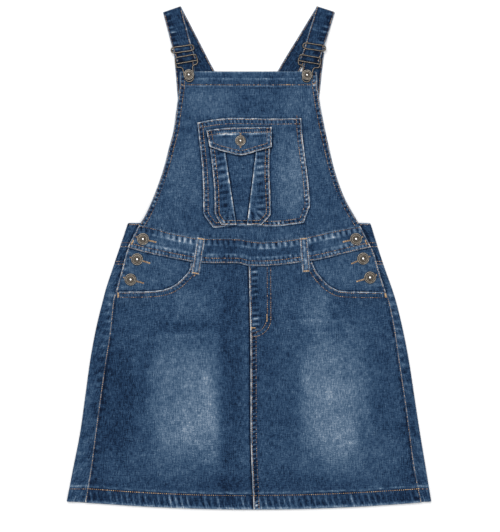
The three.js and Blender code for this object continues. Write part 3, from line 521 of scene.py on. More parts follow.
def flap_bottom(x, y):
    middle = ease(1 - np.abs(x - button_at["button_flap"]["x"]) / flap_sag_reach)
    sewn_on = patch_face(x, y) + turned - cloth + gap
    free = patch_face(x, y) + flap_lift - flap_sag * middle
    return mix(sewn_on, free, ease((flap_top_edge(x) - y) / flap_slope))


def constant(value):
    return lambda x, y: np.full(np.shape(x), value)


# Mesh makers


def mesh_object(name, points, quads, triangles=None, attributes=None):
    """Object of a closed mesh from points in millimetres, its faces turned outwards."""
    points = np.asarray(points, float) * metre
    quads = np.asarray(quads, int).reshape(-1, 4)
    triangles = np.zeros((0, 3), int) if triangles is None else np.asarray(triangles, int).reshape(-1, 3)
    halves = np.concatenate([quads[:, [0, 1, 2]], quads[:, [0, 2, 3]], triangles])
    corner = points[halves]
    if np.einsum("ij,ij->i", corner[:, 0], np.cross(corner[:, 1], corner[:, 2])).sum() < 0:
        quads, triangles = quads[:, ::-1], triangles[:, ::-1]
    mesh = bpy.data.meshes.new(name)
    mesh.vertices.add(len(points))
    mesh.vertices.foreach_set("co", points.astype(np.float32).ravel())
    loops = np.concatenate([quads.ravel(), triangles.ravel()]).astype(np.int32)
    mesh.loops.add(len(loops))
    mesh.loops.foreach_set("vertex_index", loops)
    starts = np.concatenate([np.arange(len(quads)) * 4, len(quads) * 4 + np.arange(len(triangles)) * 3])
    mesh.polygons.add(len(starts))
    mesh.polygons.foreach_set("loop_start", starts.astype(np.int32))
    mesh.update(calc_edges=True)
    mesh.shade_smooth()
    for key, values in (attributes or {}).items():
        values = np.asarray(values, np.float32)
        kind, field = ("FLOAT", "value") if values.ndim == 1 else ("FLOAT_VECTOR", "vector")
        mesh.attributes.new(key, kind, "POINT").data.foreach_set(field, values.ravel())
    mesh.validate()
    made = bpy.data.objects.new(name, mesh)
    bpy.context.scene.collection.objects.link(made)
    return made


# Tone of the inside, the rounding of a cut edge as a share of the thickness, and shifts of the weave
inside_tone = 0.4
edge_round = 0.32
edge_bulge = 0.16
inside_weave = (0, 0, 40)
edge_weave = (0, 0, 1)


def shell(name, outer, inner, tone, weave, two_faced=False):
    """Cloth with a rounded edge, from grids of points on its outer and inner face."""
    rows, columns = outer.shape[:2]
    count = rows * columns
    index = np.arange(count).reshape(rows, columns)
    faces = np.stack([index[:-1, :-1], index[1:, :-1], index[1:, 1:], index[:-1, 1:]], -1).reshape(-1, 4)
    ring = np.concatenate([index[0, :-1], index[:-1, -1], index[-1, :0:-1], index[:0:-1, 0]])
    inward = np.concatenate([index[1, :-1], index[:-1, -2], index[-2, :0:-1], index[:0:-1, 1]])
    flat_outer, flat_inner = outer.reshape(-1, 3).copy(), inner.reshape(-1, 3).copy()
    middle = (flat_outer[ring] + flat_inner[ring]) / 2
    thick = np.linalg.norm(flat_outer[ring] - flat_inner[ring], axis=1, keepdims=True)
    outward = middle - (flat_outer[inward] + flat_inner[inward]) / 2
    outward /= np.maximum(np.linalg.norm(outward, axis=1, keepdims=True), 1e-6)
    flat_outer[ring] = mix(flat_outer[ring], middle, edge_round)
    flat_inner[ring] = mix(flat_inner[ring], middle, edge_round)
    rim = middle + outward * thick * edge_bulge
    after = np.roll(np.arange(len(ring)), -1)
    rim_index = 2 * count + np.arange(len(ring))
    edge = np.concatenate([
        np.stack([ring, ring[after], rim_index[after], rim_index], -1),
        np.stack([rim_index, rim_index[after], ring[after] + count, ring + count], -1)])
    quads = np.concatenate([faces, faces[:, ::-1] + count, edge])
    points = np.concatenate([flat_outer, flat_inner, rim])
    tone = tone.ravel()
    weave = weave.reshape(-1, 3)
    other_tone = tone if two_faced else np.full(count, inside_tone)
    other_side = np.full(count, 0.0 if two_faced else 1.0)
    attributes = dict(
        tone=np.concatenate([tone, other_tone, tone[ring]]),
        weave=np.concatenate([weave, weave + inside_weave, weave[ring] + edge_weave]),
        inside=np.concatenate([np.zeros(count), other_side, np.zeros(len(ring))]))
    made = mesh_object(name, points, quads, attributes=attributes)
    made["cloth_area"] = grid_area((outer + inner) / 2)
    return made


def grid_area(middle):
    """Area in square metres of a grid of points in millimetres."""
    one = middle[1:, 1:] - middle[:-1, :-1]
    other = middle[1:, :-1] - middle[:-1, 1:]
    return float(np.linalg.norm(np.cross(one, other), axis=-1).sum() / 2) * metre ** 2


def steps_between(near, length, step):
    """Places from 0 to length: close together at both ends, then a step apart."""
    low = np.array([n for n in near if n < length / 2], float)
    count = max(1, int(round((length - 2 * low[-1]) / step)))
    middle = np.linspace(low[-1], length - low[-1], count + 1)[1:-1]
    return np.concatenate([low, middle, length - low[::-1]])


# Distances of the points from an edge, and between the points further in
edge_steps = (0, 0.5, 1.1, 1.9, 3.0, 4.4, 6.0, 7.8, 9.8)
skirt_step = 1.9
skirt_columns = 117
wide_step = 1.6
pocket_step = 1.4
band_step = 1.3
narrow_step = 1.2
back_step = 3.0
strap_step = 2.0


def dense(rows, along, step):
    """Table with a row every step along one column, smooth between the given ones."""
    low, high = rows[0][along], rows[-1][along]
    places = low + math.copysign(1, high - low) * steps_between(edge_steps, abs(high - low), step)
    found = {name: curve(rows, along, name)(places) for name in rows[0] if name != along}
    found[along] = places
    return found


# Seams: how the cloth puckers, wears and is sewn beside a line, with the shade painted in stitch grooves and
# the shadows painted beside edges
end_fade = 3
stitch_width = 0.8
stitch_groove = 0.2
stitch_groove_shade = 0.16
wear_and_ridge_width = 1.5
painted_shadow_width = 2.2
pucker_depth = 0.2
ridge_depth = 0.25


def listed(value):
    """One tuple, a list of tuples or nothing, as a list."""
    if value is None:
        return []
    return [value] if isinstance(value, tuple) else value


def seam(line, rows=(), pucker=None, wear=0.0, ridge=None, shade=0.0, cover=False, ends=(0, 0), seed=1):
    """Line whose left side is the cloth. rows are the distances of the stitching inside it. pucker is
    (middle, half width, pitch, strength, lean, sharpness), ridge is (distance, paleness), shade is the
    strength of a painted shadow on the cloth outside the line, and cover says that another piece lies over
    the cloth to the left."""
    return dict(line=np.asarray(line, float), rows=rows, puckers=listed(pucker), wear=wear,
                ridges=listed(ridge), shade=shade, cover=cover, ends=ends, seed=seed)


def bell(distance, width):
    return np.exp(-(distance / width) ** 2)


def puckered(pucker, along, aside, within, seed):
    """Height and paleness of the uneven puckers beside a seam."""
    middle, half, pitch, strength, lean, sharp = pucker
    place = along + lean * (aside - middle)
    turn = place / pitch + 0.16 * wobble(place / pitch / 2.3, seed)
    wave = 0.85 * np.cos(2 * math.pi * turn) + 0.35 * wobble(place / (pitch * 1.3), seed + 3)
    near = np.exp(-np.abs((aside - middle) / half) ** 3) * within
    crest = np.clip(0.5 + 0.5 * wave, 0, 1.1) ** sharp
    crest *= 0.9 + 0.4 * wobble(place / (pitch * 2.9), seed + 11)
    mean_crest = 0.3 * min(sharp, 1 / math.sqrt(sharp))
    return pucker_depth * min(strength, 1.4) * wave * near, strength * (0.52 * crest - mean_crest) * near


def ridged(ridge, along, aside, within, seed):
    """Height and paleness of a pressed ridge beside a seam. Paleness above zero is wear along the ridge, and
    on the flap also a painted highlight on its bulge; below zero it is painted shade beside the ridge or
    under an edge.
    """
    distance, pale = ridge
    near = bell(aside - distance - 0.5 * wobble(along / 9, seed + 7), wear_and_ridge_width) * within
    strong = 0.65 + 0.5 * wobble(along / 6, seed + 9)
    return ridge_depth * near * strong, pale * near * strong


def sewn(seams, x, y):
    """How high the seams raise the cloth at each place, and how much paler or darker they make it: wear and
    puckers, painted shade in the stitch grooves, painted shadows outside edges and painted light on some
    ridges.
    """
    relief, tone = np.zeros(np.shape(x)), np.zeros(np.shape(x))
    free = np.ones(np.shape(x))
    for one in seams:
        along, aside, run = beside(one["line"], x, y)
        from_start = along - one["ends"][0] + end_fade / 2
        from_end = run - one["ends"][1] - along + end_fade / 2
        within = ease(from_start / end_fade) * ease(from_end / end_fade)
        # Each row of stitching sinks into a groove, and painted shade darkens the groove
        for row in one["rows"]:
            near = bell(aside - row, stitch_width) * within
            relief -= stitch_groove * near
            tone -= stitch_groove_shade * near
        for pucker in one["puckers"]:
            raised, pale = puckered(pucker, along, aside, within, one["seed"])
            relief += raised
            tone += pale
        if one["wear"]:
            edge = bell(np.maximum(aside, -0.2) - 0.2, wear_and_ridge_width) * (aside > -3) * within
            tone += one["wear"] * edge * (0.85 + 0.3 * wobble(along / 4.3, one["seed"] + 5))
        # Pressed ridges: paler where worn and, on the flap, with a painted highlight; paleness below zero
        # paints shade beside a ridge or under an edge
        for ridge in one["ridges"]:
            raised, pale = ridged(ridge, along, aside, within, one["seed"])
            relief += raised
            tone += pale
        # Painted shadow outside the line, where the edge of another piece or fold lies over the cloth
        if one["shade"]:
            tone -= one["shade"] * bell(np.minimum(aside, 0), painted_shadow_width) * (aside < 2) * within
        if one["cover"]:
            free *= np.where(within > 0, ease(-aside / 2.5), 1)
    return relief * free, tone


# Creases: middle x and y, angle, length, width and height, and pale, the strength of the painted highlight
# on the crest and the painted shade in the trough beside it
folds = table("x y angle length width height pale", [
    (-150, -175, 82, 150, 16, 0.5, 0.05), (-60, -250, 96, 210, 18, 0.45, 0.05),
    (95, -190, 80, 190, 18, 0.5, 0.05), (190, -250, 100, 180, 16, 0.45, 0.05),
    (-190, -300, 105, 120, 14, 0.4, 0.04), (-118, -95, 64, 70, 8, 0.35, 0.07),
    (150, -100, 118, 80, 9, 0.35, 0.07), (-30, -120, 92, 90, 9, 0.3, 0.05),
    (-92, 255, 100, 60, 10, 0.3, 0.06), (96, 240, 78, 80, 10, 0.3, 0.06),
    (-120, 140, 66, 70, 9, 0.3, 0.05), (124, 130, 114, 70, 9, 0.3, 0.05),
    (0, 262, 2, 90, 9, 0.25, 0.04), (70, 150, 88, 90, 9, 0.25, 0.06),
    (-108, -126, 2, 140, 9, 0.45, 0.09), (-96, -108, -2, 120, 8, 0.4, -0.09),
    (112, -101, 0, 150, 5, 0.4, 0.08), (132, -120, 2, 110, 5, 0.4, 0.08),
    (150, -300, 12, 90, 6, 0.35, 0.06), (-150, -318, -8, 90, 6, 0.35, 0.06),
    (-205, -48, 8, 34, 4, 0.35, 0.16), (-200, -18, 16, 30, 3.5, 0.3, 0.16),
    (-196, 8, 20, 24, 3.5, 0.3, 0.12), (208, -44, 172, 34, 4, 0.35, 0.14),
    (200, -14, 164, 30, 3.5, 0.3, 0.14), (-165, -64, 60, 40, 7, 0.3, 0.08),
    (175, -66, 122, 40, 7, 0.3, 0.08), (60, -60, 84, 60, 9, 0.3, 0.05),
])


def creased(x, y):
    """Main creases of the laid cloth: soft ridges with a shallow trough beside each. Their tone is painted
    light: a painted highlight on the crest and painted shade in the trough.
    """
    relief, tone = np.zeros(np.shape(x)), np.zeros(np.shape(x))
    for i, fold in enumerate(folds):
        along, aside = from_middle(fold, x, y)
        aside = aside - 0.12 * fold["width"] * wobble(along / 21, i)
        fade = ease(1.6 * (1 - np.abs(along) / (fold["length"] / 2)))
        crest = bell(aside, fold["width"] * 0.55) - 0.55 * bell(aside - fold["width"], fold["width"] * 0.6)
        relief += fold["height"] * fade * crest
        tone += fold["pale"] * fade * crest
    relief += 0.1 * mottle(x, y, 23, 2) + 0.06 * mottle(x, y, 9, 4)
    return relief, tone


# Fading of the dye over the plan: middle, half width and half height of a soft patch, and how much paler.
# Two thin patches on the flap are a painted highlight on its bulge below the top seam, not fading.
patches = table("x y across up pale", [
    (-100, -236, 62, 116, 0.24), (-82, -238, 34, 62, 0.1), (133, -230, 60, 118, 0.24),
    (134, -246, 46, 66, 0.08), (-208, -225, 34, 110, -0.12), (-96, -74, 28, 24, 0.1),
    (106, -80, 28, 36, 0.15), (12.6, -392, 2.6, 9, 0.4), (-30, -200, 20, 230, -0.1),
    # The last patch of the next line and the first of the line after it paint a highlight on the flap's
    # bulge below its top seam
    (26, -200, 20, 220, -0.03), (-60, 250, 34, 34, 0.1), (-32, 198.6, 20, 3.4, 0.34),
    (8, 197.8, 14, 3.0, 0.22), (-62, 182, 4, 5, 0.3), (31, 192, 4, 10, 0.16),
    (78, 252, 24, 36, 0.06), (68, 128, 26, 64, 0.16), (-100, 130, 30, 60, 0.06),
    (180, -330, 70, 50, 0.06), (-118, 24, 48, 16, 0.15), (136, 27, 28, 15, 0.1),
    (0, -372, 300, 26, -0.06), (-240, -250, 14, 200, -0.06), (254, -250, 14, 200, -0.06),
])


# Dye fading from the patches and a mottle; two of the patches are the painted highlight on the flap
def dye_fade_and_highlight(x, y):
    tone = np.zeros(np.shape(x))
    for patch in patches:
        across = np.abs((x - patch["x"]) / patch["across"]) ** 3
        up = np.abs((y - patch["y"]) / patch["up"]) ** 3
        away = (across + up) ** (1 / 3)
        away += 0.1 * mottle(x, y, 27, 12)
        tone += patch["pale"] * ease((1.25 - away) / 0.8)
    return tone + 0.035 * mottle(x, y, 31, 6) + 0.04 * mottle(x, y, 13, 8) + 0.035 * mottle(x, y, 5, 9)


# Share of a seam's height that the inside of the cloth follows, where the buckles lie on the bib, and how
# far from loops, buckles and buttons the puckers and creases set in
inside_follows = 0.6
buckle_x = 95
buckle_foot = 279
buckle_room = 10
crease_room = 22
loop_clear = 3
buckle_clear = 4
crease_clear = 8


def lay(name, x, y, bottom, thickness, seams=(), base=0.3, covered=True):
    """Piece that lies flat: its plan as grids of x and y, and functions for its heights."""
    def form(px, py):
        raised, pale = sewn(seams, px, py)
        # crest is the creases' painted highlight and painted shade
        crease, crest = creased(px, py)
        if covered:
            raised *= bare(px, py)
        return raised + still(px, py) * crease, pale + crest

    def face(px, py):
        return bottom(px, py) + thickness(px, py) + form(px, py)[0]

    low = bottom(x, y)
    raised, pale = form(x, y)
    outer = np.stack([x, y, low + thickness(x, y) + raised], -1)
    inner = np.stack([x, y, low + inside_follows * np.maximum(raised, 0)], -1)
    weave = np.stack([x, y, np.zeros_like(x)], -1)
    return shell(name, outer, inner, base + dye_fade_and_highlight(x, y) + pale, weave), face


def bare(x, y):
    """0 under the belt loops and under the buckles on the bib, 1 elsewhere."""
    free = np.ones(np.shape(x))
    for line in loop_lines:
        along, aside, length = beside(line, x, y)
        beyond = np.maximum(np.maximum(-along, along - length), 0)
        free *= ease((np.hypot(aside, beyond) - loop_width / 2) / loop_clear)
    beyond = np.maximum(np.abs(np.abs(x) - buckle_x) - buckle_room, buckle_foot - y)
    return free * ease(beyond / buckle_clear)


def still(x, y):
    """1 where the cloth is free to crease, 0 beside the metal and where pieces lie close on each other."""
    free = bare(x, y)
    for place in buttons:
        free *= ease((np.hypot(x - place["x"], y - place["y"]) - place["radius"]) / crease_clear)
    beyond = np.maximum(np.abs(np.abs(x) - buckle_x - 1) - crease_room, buckle_foot - 3 - y)
    return free * ease(beyond / crease_clear)


def along_cloth(name, middle, thickness, tone, weave, relief=0.0, two_faced=False):
    """Cloth of even thickness round a grid of points in its middle."""
    down = np.gradient(middle, axis=0)
    across = np.gradient(middle, axis=1)
    normal = np.cross(down, across)
    normal /= np.linalg.norm(normal, axis=-1, keepdims=True)
    half = thickness / 2
    raised = (relief * ease(2 * normal[..., 2]))[..., None]
    outer, inner = middle + normal * (half + raised), middle - normal * half
    return shell(name, outer, inner, tone, weave, two_faced), normal


# Front of the skirt, its hip pieces and the waistband. The lengths and widths are usual ones, from which the
# steps are worked out. The skirt's rows follow the waistband over the first points of a pocket.
hug_rows = 5
hip_length = 70
hip_foot = -56
waist_length = 40
bib_width = 250
bib_hug = 17.4
patch_width = 165
flap_length = 38
flap_slant_run = 24


def front_skirt(side):
    pocket = pockets[side]
    last = len(pocket) - 1
    rows = [dict(x=point["x"], y=point["y"], centre=mix(pocket_centre_top, pocket_centre_low, i / last),
                 hug=max(0, 1 - i / hug_rows)) for i, point in enumerate(pocket)]
    for row in skirt_rows:
        rows.append(dict(x=float(seam_at(side, row["side"])), y=row["side"], centre=row["centre"], hug=0))
    for above in (hem_depth + hem_step, hem_depth, hem_depth / 2, 0):
        y = hem_side + above
        rows.append(dict(x=float(seam_at(side, y)), y=y, centre=hem_centre + above, hug=0))
    run = 0
    for before, row in zip([rows[0]] + rows, rows):
        run += math.hypot(row["x"] - before["x"], row["y"] - before["y"])
        row["run"] = run
    fine = dense(rows, "run", skirt_step)
    centre_x = centre_line(fine["centre"]) + side * gap / 2
    length = np.abs(centre_x - fine["x"])
    near = np.array(edge_steps)
    between = np.linspace(0, 1, skirt_columns + 1)[1:-1]
    last_near = near[-1]
    places = np.concatenate([
        np.tile(near, (len(length), 1)),
        last_near + between * (length[:, None] - 2 * last_near),
        length[:, None] - near[::-1]], 1)
    share = places / length[:, None]
    bend = 1 - (1 - share) ** 2
    x = mix(fine["x"][:, None], centre_x[:, None], share)
    straight = mix(fine["y"][:, None], fine["centre"][:, None], bend)
    top = mix(rows[0]["y"], rows[0]["centre"], bend)
    waist_x = mix(rows[0]["x"], centre_x[:, None], share)
    y = straight + fine["hug"][:, None] * (waist_low(waist_x) - gap - top)
    return x, y


def hip(side):
    pocket = pockets[side]
    start = pocket[0]["x"]
    inner = start - side * pocket_underlap
    outer_top = waist[0]["low_x"] if side < 0 else waist[-1]["low_x"]
    run = abs(outer_top - inner)
    share = steps_between(edge_steps, run, wide_step) / run
    top_x = mix(inner, outer_top, share)
    low_x = mix(inner, float(seam_at(side, hip_foot)), share)
    top = waist_low(top_x) - gap
    on_curve = curve([dict(at=side * p["x"], y=p["y"]) for p in pocket[1:]], "at", "y")
    low = on_curve(np.maximum(side * low_x, side * pocket[1]["x"])) - pocket_underlap
    down = steps_between(edge_steps, hip_length, wide_step)[:, None] / hip_length
    y = mix(top, low, down)
    x = mix(top_x, low_x, down)
    x[:, -1] = seam_at(side, y[:, -1])
    return x, y


def front_waistband():
    run = waist[-1]["low_x"] - waist[0]["low_x"]
    low_x = waist[0]["low_x"] + steps_between(edge_steps, run, band_step)
    low_y = waist_low(low_x)
    top_x = curve(waist, "low_x", "top_x")(low_x)
    top_y = waist_top(top_x)
    share = steps_between(edge_steps, waist_length, pocket_step)[:, None] / waist_length
    return mix(top_x, low_x, share), mix(top_y, low_y, share)


def bib():
    top, foot = bib_rows[0]["y"], bib_rows[-1]["y"]
    places = top - steps_between(edge_steps, top - foot, wide_step)
    hug = np.clip(1 - (places - foot) / bib_hug, 0, 1) ** 1.2
    left, right = bib_left(places)[:, None], bib_right(places)[:, None]
    share = steps_between(edge_steps, bib_width, wide_step) / bib_width
    x = mix(left, right, share)
    sewn_edge = waist_top(x) + gap
    y = mix(places[:, None], sewn_edge + places[:, None] - foot, hug[:, None])
    return x, y


def patch_pocket():
    top, foot = patch_rows[0]["y"], patch_rows[-1]["y"]
    places = top - steps_between(edge_steps, top - foot, pocket_step)
    share = steps_between(edge_steps, patch_width, pocket_step) / patch_width
    x = mix(patch_left(places)[:, None], patch_right(places)[:, None], share)
    rise = patch_top_edge(x) - top
    drop = patch_low_edge(x) - foot
    down = ((top - places) / (top - foot))[:, None]
    return x, places[:, None] + rise * (1 - down) ** 4 + drop * down ** 4


def flap():
    left = flap_columns[0]["x"]
    x = left + steps_between(edge_steps, flap_columns[-1]["x"] - left, band_step)
    share = steps_between(edge_steps, flap_length, narrow_step)[:, None] / flap_length
    y = mix(flap_top_edge(x), flap_low_edge(x), share)
    slant = flap_slant * share * ease(1 - (x - left) / flap_slant_run)
    return x + slant, y


def pleat_turn_points(x, side, low, high):
    """Round turn of the folded cloth between two of its layers."""
    points = []
    for degrees in (60, 20, -20, -60):
        angle = math.radians(degrees)
        height = mix(low, high, 0.5) + pleat_turn * math.sin(angle)
        points.append((x + side * pleat_turn * (1 - math.cos(angle)), height, 1))
    return points


def cargo_section(row, side):
    """Half a section of the pleated pocket, from its edge to the middle of the pleat: x, height, steps."""
    bottom_layer = gap + pleat_cloth / 2
    middle_layer = bottom_layer + pleat_step
    top_layer = middle_layer + pleat_step
    edge = row["left"] if side < 0 else row["right"]
    fold = row["fold_left"] if side < 0 else row["fold_right"]
    inner = fold + side * pleat_depth
    return [
        (edge, bottom_layer, 6), (edge - side * strip_rise, bottom_layer, 8),
        (inner + side * 2.4, top_layer, 10), (fold + side * pleat_turn, top_layer, 1),
        *pleat_turn_points(fold, side, middle_layer, top_layer),
        (fold + side * pleat_turn, middle_layer, 4), (inner - side * pleat_turn, middle_layer, 1),
        *pleat_turn_points(inner, -side, bottom_layer, middle_layer),
        (inner - side * pleat_turn, bottom_layer, 24),
    ]


def cargo_pocket():
    """Grid of the small pocket in the middle of its cloth, as one folded piece."""
    fine = dense(cargo_rows, "y", pocket_step)
    grid = []
    for i in range(len(fine["y"])):
        row = {name: values[i] for name, values in fine.items()}
        left, right = cargo_section(row, -1), cargo_section(row, 1)
        centre = ((row["fold_left"] + row["fold_right"]) / 2, left[0][1])
        path, counts = [point[:2] for point in left], [point[2] for point in left]
        path.append(centre)
        path += [point[:2] for point in reversed(right)]
        counts += [point[2] for point in reversed(right)]
        points = [path[0]]
        for start, end, count in zip(path[:-1], path[1:], counts):
            for step in range(1, count + 1):
                points.append((mix(start[0], end[0], step / count), mix(start[1], end[1], step / count)))
        grid.append([(x, row["y"], level) for x, level in points])
    middle = np.array(grid)
    middle[..., 2] += patch_face(middle[..., 0], middle[..., 1])
    return middle


def frame_of(line):
    """Directions along and across a straight line on the plan, and its length."""
    run = line[1] - line[0]
    length = math.hypot(*run)
    return run / length, np.array((-run[1], run[0])) / length, length


def belt_loop(line):
    """Grid of a belt loop that lies over the waistband with its lower end on the skirt."""
    ahead, across, length = frame_of(line)
    down = steps_between(edge_steps[:5], length, wide_step)
    aside = steps_between(edge_steps[:4], loop_width, narrow_step) - loop_width / 2
    x = line[0][0] + ahead[0] * down[:, None] - across[0] * aside
    y = line[0][1] + ahead[1] * down[:, None] - across[1] * aside
    return x, y


def loop_bottom(x, y):
    on_band = waist_bottom(x, y) + band
    on_skirt = front_bottom(x, y) + cloth
    below = waist_low(x) - y
    level = mix(on_band, on_skirt, ease((below - loop_fall_start) / loop_fall))
    return level + gap + loop_lift


# Back pieces, which come round the side folds onto the front. Counts of the points on the back, round the
# fold and on the front, the angle where the round starts, and how the points crowd towards the fold.
flat_count = 62
fold_count = 13
front_count = 21
strip_count = 18
fold_start = -78
front_crowding = 0.9


def round_side(side, side_y, centre_y, bow, thickness, height, inset):
    """Section of a back piece from the centre back round the side fold to its edge on the front."""
    radius = height / 2
    turn = float(fold_at(side, side_y)) - side * radius
    share = np.linspace(0, 1, flat_count)
    flat_x = mix(side * gap / 2, turn, share)
    flat_y = mix(centre_y, side_y, share ** bow)
    angle = np.radians(np.linspace(fold_start, 90, fold_count))
    edge = float(seam_at(side, side_y)) - side * inset
    front_x = mix(turn, edge, np.linspace(0, 1, front_count + 1)[1:] ** front_crowding)

    def face(reach, low, high):
        round_x, round_z = turn + side * reach * np.cos(angle), radius + reach * np.sin(angle)
        return np.concatenate([
            np.stack([flat_x, flat_y, np.full(flat_count, low)], 1),
            np.stack([round_x, np.full(fold_count, side_y), round_z], 1),
            np.stack([front_x, np.full(front_count, side_y), np.full(front_count, high)], 1)])

    return face(radius, 0, height), face(radius - thickness, thickness, height - thickness)


def back_piece(side, rows):
    """Grids of a back piece from rows of side height, centre height, bow, thickness, height and inset."""
    sections = [round_side(side, *row) for row in rows]
    return np.array([s[0] for s in sections]), np.array([s[1] for s in sections])


def back_edge_inset(y):
    return float(mix(-gap, button_underlap, ease((y - closure_end) / closure_end_slope)))


def back_skirt(side):
    hem_line = hem_side + hem_depth - back_hem_inset
    heights = [dict(side=yoke_seam[0], centre=yoke_seam[1], bow=1)]
    for row in back_rows:
        heights.append(dict(row, bow=1))
    for row in skirt_rows[2:]:
        heights.append(dict(row, bow=2))
    for above in (hem_depth + hem_step, hem_depth, hem_depth / 2, back_hem_rise + back_hem_inset):
        above -= back_hem_inset
        heights.append(dict(side=hem_side + above, centre=hem_centre + above, bow=2))
    fine = dense(heights, "side", back_step)
    rows = []
    for side_y, centre_y, bow in zip(fine["side"], fine["centre"], fine["bow"]):
        hem = float(ease((hem_line + hem_step - side_y) / hem_step))
        rows.append((side_y, centre_y, bow, mix(cloth, turned, hem), mix(fold_height, hem_fold_height, hem),
                     back_edge_inset(side_y)))
    return back_piece(side, rows)


def back_strip(side, low, high, thickness, height, trim):
    rows = []
    for share in np.linspace(1, 0, strip_count):
        side_y = mix(low[0] + trim, high[0] - trim, share)
        centre_y = mix(low[1] + trim, high[1] - trim, share)
        rows.append((side_y, centre_y, 1, thickness, height, button_underlap))
    return back_piece(side, rows)


# Straps


def turned_place(middle, turn, across, up):
    """Place on the plan from distances across and up in a frame turned about its middle."""
    return (middle[0] + across * math.cos(turn) - up * math.sin(turn),
            middle[1] + across * math.sin(turn) + up * math.cos(turn))


def in_buckle(button, side, across, up):
    return turned_place(button, math.radians(-side * buckle_turn), across, up)


def strap_stations(side):
    """Stations of a strap: x, y, z and turn, from the back waistband to the slider's bar."""
    strap = straps[side]
    start, bib_top = np.array(strap["waist"], float), np.array(strap["bib_top"], float)
    fold, slide = np.array(strap["fold"], float), np.array(strap["slider"], float)
    stations = []

    def add(begin, end, share, z):
        x, y, turn = mix(begin, end, share)
        stations.append((x, y, z, turn))

    crossing = mix(strap_floor, strap_crossing, strap["over"])
    stations.append((start[0], start[1], strap_floor, 0))
    for share, z in ((0.08, strap_floor), (0.2, strap_floor), (0.36, crossing), (0.52, crossing),
                     (0.69, crossing), (0.85, strap_floor)):
        add(start, bib_top, share, z)
    for share in (0, 0.5, 0.92):
        add(bib_top, fold, share, strap_floor)
    lean = math.radians(fold[2])
    for degrees in (-90, -60, -30, 0, 30, 60, 90):
        out = strap_turn_radius * math.cos(math.radians(degrees))
        stations.append((fold[0] - out * math.sin(lean), fold[1] + out * math.cos(lean),
                         strap_floor + strap_turn_radius * (1 + math.sin(math.radians(degrees))), fold[2]))
    front_top = strap_floor + 2 * strap_turn_radius
    for share, z in ((0.14, front_top), (0.45, front_top + 0.6), (0.72, strap_front - 1.0),
                     (0.87, strap_front - 0.1), (0.93, strap_front), (1, strap_over_bar)):
        add(fold, slide, share, z)
    button = strap["button"]
    bar = np.array([*in_buckle(button, side, 0, buckle_loop_bar), -side * buckle_turn])
    for share, z in ((0.22, strap_front), (0.55, strap_front - 0.1), (0.78, strap_front),
                     (1, loop_bar_height + loop_radius)):
        add(slide, bar, share, z)
    for degrees in (60, 30, 0, -30, -60):
        place = in_buckle(button, side, 0, buckle_loop_bar - loop_radius * math.cos(math.radians(degrees)))
        stations.append((*place, loop_bar_height + loop_radius * math.sin(math.radians(degrees)), bar[2]))
    for share in (1, 0.6, 0.22):
        add(slide, bar, share, strap_return)
    return np.array(stations)


def strap_end_stations(side):
    high = strap_cloth + gap + strap_floor
    stations = []
    for row in strap_ends:
        x = row["x"] if side < 0 else -row["x"] + mix(1.2, -3, row["share"])
        stations.append((x, row["y"], mix(strap_floor, high, row["high"]), side * -3))
    return np.array(stations)


def ribbon(stations, width):
    """Grid of points in the middle of a strap, with how far along and across each lies."""
    run = run_along(stations[:, :3])
    names = ("x", "y", "z", "turn")
    rows = [dict(zip(("run",) + names, (r, *s))) for r, s in zip(run, stations)]
    pieces = []
    for low, high in zip(run[:-1], run[1:]):
        count = max(2, int(math.ceil((high - low) / strap_step)) + 1)
        pieces.append(np.linspace(low, high, count)[:-1])
    places = np.concatenate([*pieces, run[-1:]])
    x, y, z, turn = (curve(rows, "run", name)(places) for name in names)
    angle = np.radians(turn)
    aside = steps_between(edge_steps[:5], width, strap_step) - width / 2
    middle = np.stack([
        x[:, None] + aside * np.cos(angle)[:, None],
        y[:, None] + aside * np.sin(angle)[:, None],
        z[:, None] + 0 * aside], -1)
    weave = np.stack(np.broadcast_arrays(aside[None, :], places[:, None], 0 * places[:, None]), -1)
    return middle, weave


# Wire and buttons


